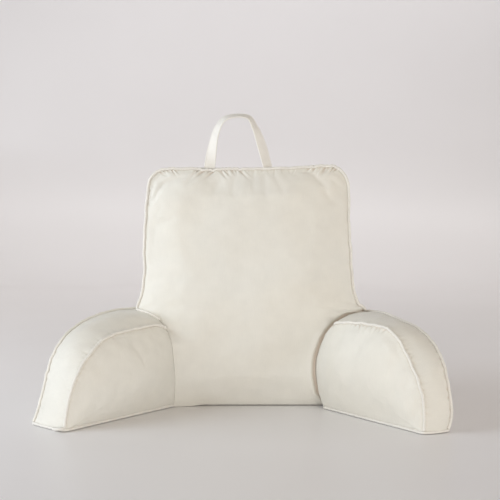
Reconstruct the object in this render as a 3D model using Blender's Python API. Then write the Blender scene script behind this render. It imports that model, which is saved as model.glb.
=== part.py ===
"""Reading pillow with arms: a boxed back cushion, two splayed boxed arms, piping and a strap.

Metres, +Z up, the front facing -Y. The origin is on the floor under the middle of the whole
pillow. The back's own frame has its origin on the floor at the middle of the front seam, with
X to the right and Y towards the rear. Each arm's own frame has its origin on the floor at the
arm's inner rear corner, with X along the arm towards its tip.
"""

from collections import namedtuple
from math import cos, pi, radians, sin

import bmesh
import bpy
from mathutils import Matrix, Vector
from mathutils.bvhtree import BVHTree

# The gap between neighbours, the piping, and how far its middle lies from what it is sewn to
GAP = 0.0003
PIPING_RADIUS = 0.003
SEAT = PIPING_RADIUS + 2 * GAP
FLOOR_LIFT = 0.004  # how far the ends of an arm's rim stay above the floor

# The back cushion
BACK_DEPTH_TOP = 0.150
BACK_DEPTH_FLOOR = 0.185
BACK_HEIGHT = 0.530
BACK_FRONT_CROWN = 0.055
BACK_REAR_CROWN = 0.036
BACK_BAND_SWELL = 0.006
BACK_TOE = 0.012  # how far the foot of the front seam comes forward
BACK_TOE_SHARE = 0.3  # the part of it that the middle of the front panel has
BACK_BELLY_HEIGHT = 0.225
BACK_STEPS = 68

# The arms
ARM_INNER_CROWN = 0.032
ARM_OUTER_CROWN = 0.024
ARM_BAND_SWELL = 0.007
ARM_BELLY_SHARE = 0.45  # the height of the fullest place, as a part of the seam's height
ARM_STEPS = 33

# Where the piping starts and ends
RIM_TOP_SHARE = 0.94  # the rim's piping starts where the seam is this much of its full height
CREASE_TOP = 0.214  # the front piping leaves its seam here and follows the crease
CREASE_HEIGHT = 0.200  # about where the crease lies
BASE_PIPING_TOP = 2 * PIPING_RADIUS + 2 * GAP

# The strap
STRAP_WIDTH = 0.024
STRAP_THICKNESS = 0.004
STRAP_SEAT_DEPTH = 0.011
STRAP_STEPS = 34
STRAP_CORNERS = 8
STRAP_FLATNESS = (1.1, 1.2)  # how far an oval section is pressed against its width and thickness
TURN_SCALE = 0.0002  # metres for each degree of turn, so that one curve carries both

# How finely the shapes are made
CURVE_PARTS = 12
FLOOR_STEPS = 14
FACE_RINGS = 6
FACE_RING_SPREAD = 1.5
CROWN_POWER = 2.4
PIPING_SIDES_LEVEL = 1
TIP_STEPS = 6
CREASE_STEPS = 8
SHARP_ANGLE = radians(50.0)

# The search for surfaces: a slanted way up, a small step past a wall, and a place beyond the pillow
PROBE_WAY = Vector((0.013, 0.017, 1.0)).normalized()
PROBE_STEP = Vector((0.0, 0.0, 0.00001))
MOST_WALLS = 20
BEYOND = 1.0
SETTLE_ROUNDS = 8

# The middle of the whole pillow, in the back's frame
PILLOW_CENTRE = Vector((-0.015, -0.064, 0.0))

# One row for each place round the back's edge, from the left floor corner over the top
Edge = namedtuple("Edge", "front_across rear_across height")
BACK_EDGE = [
    Edge(-0.252, -0.240, 0.000),
    Edge(-0.253, -0.241, 0.110),
    Edge(-0.251, -0.239, 0.190),
    Edge(-0.246, -0.237, 0.218),
    Edge(-0.236, -0.235, 0.246),
    Edge(-0.229, -0.233, 0.299),
    Edge(-0.230, -0.231, 0.348),
    Edge(-0.226, -0.227, 0.424),
    Edge(-0.223, -0.223, 0.462),
    Edge(-0.218, -0.218, 0.498),
    Edge(-0.205, -0.205, 0.517),
    Edge(-0.180, -0.180, 0.525),
    Edge(-0.100, -0.100, 0.525),
    Edge(0.004, 0.004, 0.525),
    Edge(0.110, 0.110, 0.528),
    Edge(0.172, 0.172, 0.532),
    Edge(0.200, 0.200, 0.527),
    Edge(0.214, 0.212, 0.511),
    Edge(0.222, 0.219, 0.486),
    Edge(0.223, 0.222, 0.452),
    Edge(0.223, 0.225, 0.406),
    Edge(0.227, 0.229, 0.348),
    Edge(0.230, 0.232, 0.293),
    Edge(0.235, 0.235, 0.254),
    Edge(0.245, 0.238, 0.226),
    Edge(0.264, 0.241, 0.203),
    Edge(0.263, 0.244, 0.110),
    Edge(0.262, 0.243, 0.000),
]

# One row for each place round an arm's rim: up its rear end, over its top and down its tip
Rim = namedtuple("Rim", "inner_along inner_height outer_along outer_height width")
LEFT_RIM = [
    Rim(0.000, FLOOR_LIFT, -0.030, FLOOR_LIFT, 0.100),
    Rim(-0.006, 0.055, -0.030, 0.070, 0.101),
    Rim(-0.004, 0.105, -0.030, 0.140, 0.101),
    Rim(0.010, 0.145, -0.026, 0.185, 0.101),
    Rim(0.034, 0.174, -0.004, 0.208, 0.101),
    Rim(0.066, 0.185, 0.040, 0.212, 0.102),
    Rim(0.123, 0.184, 0.090, 0.212, 0.102),
    Rim(0.179, 0.181, 0.150, 0.205, 0.101),
    Rim(0.222, 0.175, 0.200, 0.192, 0.100),
    Rim(0.252, 0.161, 0.245, 0.168, 0.100),
    Rim(0.285, 0.136, 0.276, 0.133, 0.100),
    Rim(0.310, 0.108, 0.292, 0.098, 0.100),
    Rim(0.330, 0.070, 0.305, 0.058, 0.100),
    Rim(0.341, 0.032, 0.317, 0.024, 0.099),
    Rim(0.346, FLOOR_LIFT, 0.323, FLOOR_LIFT, 0.098),
]
RIGHT_RIM = [
    Rim(-0.014, FLOOR_LIFT, -0.030, FLOOR_LIFT, 0.110),
    Rim(-0.024, 0.055, -0.030, 0.070, 0.112),
    Rim(-0.024, 0.100, -0.030, 0.140, 0.114),
    Rim(-0.012, 0.142, -0.026, 0.180, 0.116),
    Rim(0.014, 0.173, 0.000, 0.203, 0.117),
    Rim(0.052, 0.190, 0.050, 0.208, 0.113),
    Rim(0.094, 0.195, 0.102, 0.208, 0.105),
    Rim(0.148, 0.199, 0.158, 0.202, 0.094),
    Rim(0.200, 0.199, 0.200, 0.197, 0.086),
    Rim(0.236, 0.196, 0.239, 0.190, 0.079),
    Rim(0.271, 0.177, 0.286, 0.171, 0.071),
    Rim(0.305, 0.138, 0.326, 0.138, 0.063),
    Rim(0.330, 0.102, 0.348, 0.093, 0.059),
    Rim(0.345, 0.066, 0.357, 0.046, 0.058),
    Rim(0.348, 0.034, 0.357, 0.022, 0.059),
    Rim(0.348, FLOOR_LIFT, 0.356, FLOOR_LIFT, 0.060),
]

# Where each arm starts, how far it splays from straight ahead, which way is outwards, and how
# far out the front panel's piping enters and leaves the crease along the arm's top
Arm = namedtuple("Arm", "side rim corner splay outward crease_outer crease_inner")
ARMS = [
    Arm("left", LEFT_RIM, Vector((-0.162, -0.022, 0.0)), radians(36.0), -1.0, 0.246, 0.196),
    Arm("right", RIGHT_RIM, Vector((0.157, -0.036, 0.0)), radians(33.0), 1.0, 0.263, 0.196),
]

# The strap's middle line in the back's frame, and how far its width turns about that line
Strap = namedtuple("Strap", "across height turn")
STRAP_LINE = [
    Strap(-0.0850, 0.5360, -4.0),
    Strap(-0.0783, 0.5808, -38.0),
    Strap(-0.0709, 0.6099, -50.0),
    Strap(-0.0600, 0.6312, -62.0),
    Strap(-0.0450, 0.6420, -66.0),
    Strap(-0.0202, 0.6457, -70.0),
    Strap(0.0000, 0.6425, -66.0),
    Strap(0.0085, 0.6340, -63.0),
    Strap(0.0135, 0.6229, -58.0),
    Strap(0.0205, 0.6085, -48.0),
    Strap(0.0322, 0.5741, -30.0),
    Strap(0.0382, 0.5517, -33.0),
    Strap(0.0425, 0.5380, -36.0),
]

# Fractions of the way across a band where its rings lie
BAND_RINGS = (0.0, 0.09, 0.5, 0.91, 1.0)


def clear_scene():
    for thing in list(bpy.data.objects):
        bpy.data.objects.remove(thing, do_unlink=True)


def make_material(name, colour, roughness):
    material = bpy.data.materials.new(name)
    material.use_nodes = True
    shader = material.node_tree.nodes["Principled BSDF"]
    shader.inputs["Base Color"].default_value = (*colour, 1.0)
    shader.inputs["Roughness"].default_value = roughness
    shader.inputs["Metallic"].default_value = 0.0
    return material


def make_empty(name, parent, location, turn):
    empty = bpy.data.objects.new(name, None)
    bpy.context.collection.objects.link(empty)
    empty.parent = parent
    empty.location = location
    empty.rotation_euler = (0.0, 0.0, turn)
    return empty


def mesh_object(name, bm, material, parent):
    bmesh.ops.recalc_face_normals(bm, faces=bm.faces)
    mesh = bpy.data.meshes.new(name)
    bm.to_mesh(mesh)
    bm.free()
    mesh.shade_smooth()
    mesh.set_sharp_from_angle(angle=SHARP_ANGLE)
    made = bpy.data.objects.new(name, mesh)
    bpy.context.collection.objects.link(made)
    made.data.materials.append(material)
    made.parent = parent
    return made


def smooth_line(points, steps):
    """Read steps + 1 evenly spaced points from a smooth curve through the given ones."""
    fine = []
    for index in range(len(points) - 1):
        before = points[max(index - 1, 0)]
        start = points[index]
        end = points[index + 1]
        after = points[min(index + 2, len(points) - 1)]
        for part in range(CURVE_PARTS):
            t = part / CURVE_PARTS
            bend = 2 * before - 5 * start + 4 * end - after
            twist = 3 * start - before - 3 * end + after
            fine.append(start + 0.5 * ((end - before) * t + bend * t * t + twist * t ** 3))
    fine.append(points[-1])
    reach = [0.0]
    for first, second in zip(fine, fine[1:]):
        reach.append(reach[-1] + (second - first).length)
    line = []
    place = 0
    for step in range(steps + 1):
        wanted = reach[-1] * step / steps
        while place < len(fine) - 2 and reach[place + 1] < wanted:
            place += 1
        share = (wanted - reach[place]) / (reach[place + 1] - reach[place])
        line.append(fine[place].lerp(fine[place + 1], share))
    return line


def close_on_floor(line):
    """Add the straight stretch along the floor from the line's end back to its start."""
    return line + [line[-1].lerp(line[0], step / FLOOR_STEPS) for step in range(1, FLOOR_STEPS)]


def bow(share):
    """The height of a shallow bow of height 1 at a share of the way across it."""
    return 4 * share * (1 - share)


def outward_directions(loop, facing):
    """The direction out of a loop at each point, square to the way the panel faces."""
    middle = sum(loop, Vector()) / len(loop)
    directions = []
    for index, point in enumerate(loop):
        along = loop[(index + 1) % len(loop)] - loop[index - 1]
        out = along.cross(facing).normalized()
        if out.dot(point - middle) < 0:
            out = -out
        directions.append(out)
    return directions


def boxed_cushion(near, far, centres, facing, crowns, swell, sides):
    """A filled cushion: two crowned panels whose seams are near and far, and a band between.

    The first `sides` points of both loops run up, over and down the band; the rest lie along
    the floor, where the inner band rings are flat on it.
    """
    bm = bmesh.new()
    outward = outward_directions(near, facing)
    rings = []
    for share in BAND_RINGS:
        ring = []
        for index, (start, end) in enumerate(zip(near, far)):
            point = start.lerp(end, share)
            if index < sides:
                out = outward[index].copy()
                if index in (0, sides - 1):
                    out.z = 0.0
                point += out * swell * bow(share)
            elif 0.0 < share < 1.0:
                point.z = 0.0
            ring.append(bm.verts.new(point))
        rings.append(ring)
    for seam, centre, side, crown, at_start in (
        (near, centres[0], -facing, crowns[0], True),
        (far, centres[1], facing, crowns[1], False),
    ):
        face_rings = []
        for step in range(1, FACE_RINGS):
            reach = 1 - (step / FACE_RINGS) ** FACE_RING_SPREAD
            rise = crown * (1 - reach ** CROWN_POWER)
            ring = [bm.verts.new(centre + (point - centre) * reach + side * rise) for point in seam]
            face_rings.append(ring)
        top = bm.verts.new(centre + side * crown)
        inner = face_rings[-1]
        for index, vert in enumerate(inner):
            bm.faces.new((vert, inner[(index + 1) % len(inner)], top))
        rings = face_rings[::-1] + rings if at_start else rings + face_rings
    for first, second in zip(rings, rings[1:]):
        for index in range(len(first)):
            after = (index + 1) % len(first)
            bm.faces.new((first[index], first[after], second[after], second[index]))
    bmesh.ops.triangulate(bm, faces=bm.faces)
    return bm


def surface_of(objects):
    """A search tree over the world-space surfaces of the given objects."""
    bpy.context.view_layer.update()
    depsgraph = bpy.context.evaluated_depsgraph_get()
    verts = []
    faces = []
    for thing in objects:
        evaluated = thing.evaluated_get(depsgraph)
        base = len(verts)
        verts.extend(evaluated.matrix_world @ vert.co for vert in evaluated.data.vertices)
        faces.extend([base + corner for corner in face.vertices] for face in evaluated.data.polygons)
    return BVHTree.FromPolygons(verts, faces)


def is_inside(point, surface):
    """Whether a point is inside a closed surface, by counting the walls above it."""
    walls = 0
    start = point
    while walls < MOST_WALLS:
        hit = surface.ray_cast(start, PROBE_WAY)[0]
        if hit is None:
            break
        walls += 1
        start = hit + PROBE_STEP
    return walls % 2 == 1


def clear_stretch(points, surface, distance):
    """Keep the points that lie outside a surface and at least the given distance from it."""
    kept = []
    for point in points:
        if surface.find_nearest(point)[3] >= distance and not is_inside(point, surface):
            kept.append(point)
    return kept


def settle(points, surfaces, level=None):
    """Push each point out until a cord along them clears every surface, at a level if given."""
    settled = []
    for point in points:
        spot = point.copy()
        for _ in range(SETTLE_ROUNDS):
            for surface in surfaces:
                nearest, normal, _, away = surface.find_nearest(spot)
                buried = is_inside(spot, surface)
                push = SEAT + away if buried else SEAT - away
                if push > 0:
                    out = normal if buried else spot - nearest
                    if level is not None:
                        out = Vector((out.x, out.y, 0))
                        spot.z = level
                    spot += out.normalized() * push
        settled.append(spot)
    return settled


def piping(name, points, material, parent):
    """A filled cord of piping along world-space points."""
    bpy.context.view_layer.update()
    local = parent.matrix_world.inverted()
    curve = bpy.data.curves.new(name, "CURVE")
    curve.dimensions = "3D"
    curve.bevel_depth = PIPING_RADIUS
    curve.bevel_resolution = PIPING_SIDES_LEVEL
    curve.use_fill_caps = True
    spline = curve.splines.new("POLY")
    spline.points.add(len(points) - 1)
    for spot, point in zip(spline.points, points):
        spot.co = (*(local @ point), 1.0)
    spline.use_smooth = True
    made = bpy.data.objects.new(name, curve)
    bpy.context.collection.objects.link(made)
    made.data.materials.append(material)
    made.parent = parent
    return made


def back_seams():
    """The front and rear seams of the back, in its own frame."""
    seams = []
    for side in ("front_across", "rear_across"):
        edge = [Vector((getattr(row, side), 0.0, row.height)) for row in BACK_EDGE]
        seams.append(close_on_floor(smooth_line(edge, BACK_STEPS)))
    front, rear = seams
    for point in front:
        point.y = -BACK_TOE * (1 - point.z / BACK_HEIGHT) ** 2
    for point in rear:
        point.y = BACK_DEPTH_TOP + (BACK_DEPTH_FLOOR - BACK_DEPTH_TOP) * (1 - point.z / BACK_HEIGHT)
    return front, rear


def build_back(frame, material):
    front, rear = back_seams()
    middle = 0.5 * (front[0].x + front[BACK_STEPS].x)
    centres = (
        Vector((middle, -BACK_TOE_SHARE * BACK_TOE, BACK_BELLY_HEIGHT)),
        Vector((middle, 0.5 * (BACK_DEPTH_TOP + BACK_DEPTH_FLOOR), BACK_BELLY_HEIGHT)),
    )
    crowns = (BACK_FRONT_CROWN, BACK_REAR_CROWN)
    bm = boxed_cushion(front, rear, centres, Vector((0, 1, 0)), crowns, BACK_BAND_SWELL, BACK_STEPS + 1)
    return mesh_object("back_cushion", bm, material, frame), front, rear


def arm_seams(arm):
    """The inner and outer seams of an arm, in its own frame."""
    inner = [Vector((row.inner_along, 0.0, row.inner_height)) for row in arm.rim]
    outer = [Vector((row.outer_along, arm.outward * row.width, row.outer_height)) for row in arm.rim]
    return [close_on_floor(smooth_line(side, ARM_STEPS)) for side in (inner, outer)]


def build_arm(arm, frame, material):
    inner, outer = arm_seams(arm)
    centres = []
    for seam in (inner, outer):
        spot = sum(seam, Vector()) / len(seam)
        spot.z = ARM_BELLY_SHARE * max(point.z for point in seam)
        centres.append(spot)
    facing = Vector((0, arm.outward, 0))
    crowns = (ARM_INNER_CROWN, ARM_OUTER_CROWN)
    bm = boxed_cushion(inner, outer, centres, facing, crowns, ARM_BAND_SWELL, ARM_STEPS + 1)
    return mesh_object("arm_" + arm.side, bm, material, frame), inner, outer


def press_into(back, arm_piece):
    """Cut the back where an arm is sewn on, leaving the small gap between the two."""
    cutter = arm_piece.copy()
    cutter.data = arm_piece.data.copy()
    cutter.name = arm_piece.name + "_press"
    for vert in cutter.data.vertices:
        vert.co += vert.normal * 2 * GAP
    bpy.context.collection.objects.link(cutter)
    cutter.hide_render = True
    cutter.display_type = "WIRE"
    cut = back.modifiers.new(arm_piece.name, "BOOLEAN")
    cut.operation = "DIFFERENCE"
    cut.solver = "EXACT"
    cut.object = cutter


def top_seam_line(frame, seam, facing, first, last):
    """World points of a cord that lies outside a seam, between the panel and the band."""
    bpy.context.view_layer.update()
    outward = outward_directions(seam, facing)
    line = []
    for index in range(first, last):
        away = (outward[index] + facing).normalized()
        spot = seam[index] + away * SEAT
        spot.z = max(spot.z, SEAT)
        line.append(frame.matrix_world @ spot)
    return line


def base_seam_line(frame, inner, outer, outward):
    """World points of the cord round an arm's base: inner side, tip, outer side."""
    bpy.context.view_layer.update()
    inwards = Vector((0, -outward, 0))
    run = [spot + inwards * SEAT for spot in inner[:ARM_STEPS:-1]]
    for step in range(TIP_STEPS + 1):
        share = step / TIP_STEPS
        reach = SEAT + ARM_BAND_SWELL * bow(share)
        corner = {0: inwards * SEAT, TIP_STEPS: -inwards * SEAT}.get(step, Vector())
        run.append(inner[ARM_STEPS].lerp(outer[ARM_STEPS], share) + Vector((reach, 0, 0)) + corner)
    run += [spot - inwards * SEAT for spot in outer[ARM_STEPS + 1:]]
    return [frame.matrix_world @ Vector((spot.x, spot.y, SEAT)) for spot in run]


def crease_line(start, end, back_surface, arm_surface):
    """World points where the back's front panel meets the top of an arm."""
    line = []
    for step in range(CREASE_STEPS + 1):
        across = start + (end - start) * step / CREASE_STEPS
        height = CREASE_HEIGHT
        for _ in range(SETTLE_ROUNDS):
            front = back_surface.ray_cast(Vector((across, -BEYOND, height)), Vector((0, 1, 0)))[0]
            if front is None:
                break
            top = arm_surface.ray_cast(Vector((across, front.y, BEYOND)), Vector((0, 0, -1)))[0]
            if top is None:
                break
            height = top.z
        if front is not None and top is not None:
            line.append(top)
    return line


def build_strap(frame, surface, material):
    """A flat strap whose two legs turn from facing forward to nearly edge-on at the top."""
    rows = [Vector((row.across, row.height, row.turn * TURN_SCALE)) for row in STRAP_LINE]
    line = smooth_line(rows, STRAP_STEPS)
    centres = [Vector((point.x, STRAP_SEAT_DEPTH, point.y)) for point in line]
    bm = bmesh.new()
    rings = []
    for index, point in enumerate(line):
        before = centres[max(index - 1, 0)]
        after = centres[min(index + 1, len(centres) - 1)]
        along = (after - before).normalized()
        side = along.cross(Vector((0, 1, 0))).normalized()
        turn = Matrix.Rotation(radians(point.z / TURN_SCALE), 3, along)
        wide = turn @ side
        thick = along.cross(wide)
        ring = []
        for corner in range(STRAP_CORNERS):
            angle = 2 * pi * (corner + 0.5) / STRAP_CORNERS
            x = 0.5 * STRAP_WIDTH * max(min(STRAP_FLATNESS[0] * cos(angle), 1.0), -1.0)
            y = 0.5 * STRAP_THICKNESS * max(min(STRAP_FLATNESS[1] * sin(angle), 1.0), -1.0)
            ring.append(bm.verts.new(centres[index] + wide * x + thick * y))
        rings.append(ring)
    for ring in (rings[0], rings[-1]):
        for vert in ring:
            start = frame.matrix_world @ Vector((vert.co.x, vert.co.y, BEYOND))
            hit = surface.ray_cast(start, Vector((0, 0, -1)))[0]
            vert.co.z = hit.z + 2 * GAP
    for first, second in zip(rings, rings[1:]):
        for index in range(STRAP_CORNERS):
            after = (index + 1) % STRAP_CORNERS
            bm.faces.new((first[index], first[after], second[after], second[index]))
    bm.faces.new(rings[0])
    bm.faces.new(rings[-1])
    return mesh_object("handle", bm, material, frame)


def main():
    clear_scene()
    cloth = make_material("cover_cloth", (0.84, 0.81, 0.73), 0.62)
    cord_cloth = make_material("piping_cloth", (0.86, 0.80, 0.71), 0.60)
    strap_cloth = make_material("strap_cloth", (0.84, 0.81, 0.73), 0.62)

    pillow = make_empty("pillow", None, -PILLOW_CENTRE, 0.0)
    back, front, rear = build_back(pillow, cloth)
    whole_back = surface_of([back])
    arms = []
    for arm in ARMS:
        frame = make_empty("arm_frame_" + arm.side, pillow, arm.corner, -pi / 2 + arm.outward * arm.splay)
        piece, inner, outer = build_arm(arm, frame, cloth)
        press_into(back, piece)
        arms.append((arm, frame, inner, outer, surface_of([piece])))
    build_strap(pillow, whole_back, strap_cloth)

    creases = []
    for arm, frame, inner, outer, surface in arms:
        facing = Vector((0, arm.outward, 0))
        for name, seam, side in (("inner", inner, -facing), ("outer", outer, facing)):
            top = max(point.z for point in seam)
            first = next(index for index, point in enumerate(seam) if point.z > RIM_TOP_SHARE * top)
            line = settle(top_seam_line(frame, seam, side, first, ARM_STEPS + 1), [surface])
            line = [point for point in line if point.z > BASE_PIPING_TOP + PIPING_RADIUS]
            line = clear_stretch(line, whole_back, SEAT)
            piping(f"piping_{name}_{arm.side}", line, cord_cloth, frame)
        line = settle(base_seam_line(frame, inner, outer, arm.outward), [surface], SEAT)
        piping("piping_base_" + arm.side, clear_stretch(line, whole_back, SEAT), cord_cloth, frame)
        outside = (pillow.matrix_world @ Vector((arm.outward * arm.crease_outer, 0, 0))).x
        inside = (pillow.matrix_world @ Vector((arm.outward * arm.crease_inner, 0, 0))).x
        creases.append(crease_line(outside, inside, whole_back, surface))

    arm_surfaces = [surface for _, _, _, _, surface in arms]
    for name, seam, side in (("front", front, Vector((0, -1, 0))), ("rear", rear, Vector((0, 1, 0)))):
        line = top_seam_line(pillow, seam, side, 0, BACK_STEPS + 1)
        if name == "front":
            line = [point for point in line if point.z > CREASE_TOP]
            line = creases[0][::-1] + line + creases[1]
        line = settle(line, [whole_back] + arm_surfaces)
        piping("piping_back_" + name, line, cord_cloth, pillow)


main()
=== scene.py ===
from collections import namedtuple
from math import cos, pi, radians, sin

import bmesh
import bpy
import numpy as np
from mathutils import Matrix, Vector
from mathutils.bvhtree import BVHTree
from mathutils.kdtree import KDTree


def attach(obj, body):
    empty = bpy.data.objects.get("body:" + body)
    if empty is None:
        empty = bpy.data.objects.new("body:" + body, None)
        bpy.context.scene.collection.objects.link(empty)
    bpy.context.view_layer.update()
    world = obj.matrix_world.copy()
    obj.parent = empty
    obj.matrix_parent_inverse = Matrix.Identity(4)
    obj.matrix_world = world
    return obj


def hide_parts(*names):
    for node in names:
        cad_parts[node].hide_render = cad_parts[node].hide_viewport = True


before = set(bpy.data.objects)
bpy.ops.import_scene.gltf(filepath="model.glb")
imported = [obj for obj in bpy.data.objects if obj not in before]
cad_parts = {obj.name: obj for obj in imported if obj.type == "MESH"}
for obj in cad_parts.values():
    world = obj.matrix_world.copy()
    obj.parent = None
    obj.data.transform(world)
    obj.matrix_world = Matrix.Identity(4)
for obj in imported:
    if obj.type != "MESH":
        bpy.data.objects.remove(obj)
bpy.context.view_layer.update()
scene = bpy.context.scene

# where the back's own frame lies: its origin is on the floor at the middle of the front seam
backCorner = np.array((0.015, 0.064, 0.0))

view = {
    "place": (0.015, -2.536, 0.480),
    "pitch": 2.946,  # degrees below level
    "yaw": -0.098,
    "lens": 83.95,
    "sensor": 36.0,
}


def makeCamera():
    data = bpy.data.cameras.new("camera")
    data.lens = view["lens"]
    data.sensor_width = view["sensor"]
    data.sensor_fit = "HORIZONTAL"
    made = bpy.data.objects.new("camera", data)
    scene.collection.objects.link(made)
    made.location = view["place"]
    made.rotation_euler = (radians(90 - view["pitch"]), 0.0, radians(view["yaw"]))
    scene.camera = made


makeCamera()
print("camera set")


# the seams' shapes, as the cushions were cut: from the left floor corner over the top
Edge = namedtuple("Edge", "frontAcross rearAcross height")
backEdge = [
    Edge(-0.252, -0.240, 0.000),
    Edge(-0.253, -0.241, 0.110),
    Edge(-0.251, -0.239, 0.190),
    Edge(-0.246, -0.237, 0.218),
    Edge(-0.236, -0.235, 0.246),
    Edge(-0.229, -0.233, 0.299),
    Edge(-0.230, -0.231, 0.348),
    Edge(-0.226, -0.227, 0.424),
    Edge(-0.223, -0.223, 0.462),
    Edge(-0.218, -0.218, 0.498),
    Edge(-0.205, -0.205, 0.517),
    Edge(-0.180, -0.180, 0.525),
    Edge(-0.100, -0.100, 0.525),
    Edge(0.004, 0.004, 0.525),
    Edge(0.110, 0.110, 0.528),
    Edge(0.172, 0.172, 0.532),
    Edge(0.200, 0.200, 0.527),
    Edge(0.214, 0.212, 0.511),
    Edge(0.222, 0.219, 0.486),
    Edge(0.223, 0.222, 0.452),
    Edge(0.223, 0.225, 0.406),
    Edge(0.227, 0.229, 0.348),
    Edge(0.230, 0.232, 0.293),
    Edge(0.235, 0.235, 0.254),
    Edge(0.245, 0.238, 0.226),
    Edge(0.264, 0.241, 0.203),
    Edge(0.263, 0.244, 0.110),
    Edge(0.262, 0.243, 0.000),
]

Rim = namedtuple("Rim", "innerAlong innerHeight outerAlong outerHeight width")
leftRim = [
    Rim(0.000, 0.004, -0.030, 0.004, 0.100),
    Rim(-0.006, 0.055, -0.030, 0.070, 0.101),
    Rim(-0.004, 0.105, -0.030, 0.140, 0.101),
    Rim(0.010, 0.145, -0.026, 0.185, 0.101),
    Rim(0.034, 0.174, -0.004, 0.208, 0.101),
    Rim(0.066, 0.185, 0.040, 0.212, 0.102),
    Rim(0.123, 0.184, 0.090, 0.212, 0.102),
    Rim(0.179, 0.181, 0.150, 0.205, 0.101),
    Rim(0.222, 0.175, 0.200, 0.192, 0.100),
    Rim(0.252, 0.161, 0.245, 0.168, 0.100),
    Rim(0.285, 0.136, 0.276, 0.133, 0.100),
    Rim(0.310, 0.108, 0.292, 0.098, 0.100),
    Rim(0.330, 0.070, 0.306, 0.058, 0.100),
    Rim(0.341, 0.032, 0.320, 0.024, 0.100),
    Rim(0.346, 0.004, 0.331, 0.004, 0.101),
]
rightRim = [
    Rim(0.022, 0.004, -0.030, 0.004, 0.110),
    Rim(-0.012, 0.055, -0.030, 0.070, 0.112),
    Rim(-0.016, 0.104, -0.030, 0.140, 0.114),
    Rim(0.006, 0.144, -0.026, 0.180, 0.116),
    Rim(0.034, 0.174, 0.000, 0.203, 0.117),
    Rim(0.064, 0.190, 0.050, 0.208, 0.113),
    Rim(0.094, 0.195, 0.102, 0.208, 0.105),
    Rim(0.148, 0.199, 0.158, 0.202, 0.094),
    Rim(0.200, 0.199, 0.200, 0.197, 0.086),
    Rim(0.236, 0.196, 0.239, 0.190, 0.079),
    Rim(0.271, 0.177, 0.286, 0.171, 0.071),
    Rim(0.305, 0.138, 0.326, 0.138, 0.063),
    Rim(0.330, 0.102, 0.348, 0.093, 0.059),
    Rim(0.345, 0.066, 0.357, 0.046, 0.060),
    Rim(0.348, 0.034, 0.357, 0.022, 0.058),
    Rim(0.348, 0.004, 0.354, 0.004, 0.054),
]


plan = np.array(((1.0, 0, 0), (0, 0, 1.0)))  # from a cushion's own frame to the flat of its panels


def stepsOf(line):
    return np.linalg.norm(np.diff(line, axis=0), axis=1)


def spaced(line, sizes, count):
    # a line of so many points, spaced by the sizes given to its steps
    reach = np.concatenate([[0.0], np.cumsum(sizes)])
    wanted = np.linspace(0.0, reach[-1], count)
    return np.column_stack([np.interp(wanted, reach, line[:, k]) for k in range(line.shape[1])])


def evenly(line, count):
    return spaced(line, stepsOf(line), count)


def smoothLine(points, steps):
    points = np.array(points, float)
    parts = 24
    share = np.arange(parts)[:, None] / parts
    fine = []
    for index in range(len(points) - 1):
        before = points[max(index - 1, 0)]
        start = points[index]
        end = points[index + 1]
        after = points[min(index + 2, len(points) - 1)]
        bend = 2 * before - 5 * start + 4 * end - after
        twist = 3 * start - before - 3 * end + after
        fine.append(start + 0.5 * ((end - before) * share + bend * share ** 2 + twist * share ** 3))
    return evenly(np.vstack(fine + [points[-1:]]), steps + 1)


def closeOnFloor(line, steps):
    share = np.arange(1, steps)[:, None] / steps
    return np.vstack([line, line[-1] + (line[0] - line[-1]) * share])


def softened(values, reach):
    # a running mean round a closed loop
    kernel = np.hanning(2 * reach + 3)[1:-1]
    padded = np.concatenate([values[-reach:], values, values[:reach]])
    return np.convolve(padded, kernel / kernel.sum(), "valid")


def unit(vectors):
    return vectors / np.maximum(np.linalg.norm(vectors, axis=-1, keepdims=True), 1e-12)


def outwardOf(loop, facing):
    out = unit(np.cross(np.roll(loop, -1, 0) - np.roll(loop, 1, 0), facing))
    flip = np.sign((out * (loop - loop.mean(0))).sum(1).sum())
    return out * flip


def stretchedSkin(outline, cell):
    # how high a skin stands over an outline when air pushes it up, 0 to 1, and a way to read it
    low = outline.min(0) - 2 * cell
    shape = tuple(np.ceil((outline.max(0) - low) / cell).astype(int) + 3)
    across = low[0] + cell * np.arange(shape[0])
    along = low[1] + cell * np.arange(shape[1])
    inside = np.zeros(shape, bool)
    for (x0, y0), (x1, y1) in zip(outline, np.roll(outline, -1, 0)):
        if y0 != y1:
            row = (along >= min(y0, y1)) & (along < max(y0, y1))
            crossing = x0 + (along[row] - y0) * (x1 - x0) / (y1 - y0)
            inside[:, row] ^= across[:, None] > crossing[None, :]
    lift = np.zeros(shape)
    odd = np.indices(shape).sum(0) % 2 == 1
    over = 2 / (1 + pi / max(shape))
    for _ in range(3 * max(shape)):
        for half in (inside & odd, inside & ~odd):
            around = np.roll(lift, 1, 0) + np.roll(lift, -1, 0) + np.roll(lift, 1, 1) + np.roll(lift, -1, 1)
            lift[half] += over * (0.25 * around[half] + 1 - lift[half])
    lift /= lift.max()

    def read(points):
        spot = (points - low) / cell
        index = np.clip(np.floor(spot).astype(int), 0, np.array(shape) - 2)
        part = spot - index
        total = 0.0
        for i in (0, 1):
            for j in (0, 1):
                shareAcross = part[..., 0] if i else 1 - part[..., 0]
                shareAlong = part[..., 1] if j else 1 - part[..., 1]
                total = total + shareAcross * shareAlong * lift[index[..., 0] + i, index[..., 1] + j]
        return total

    return read


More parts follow.
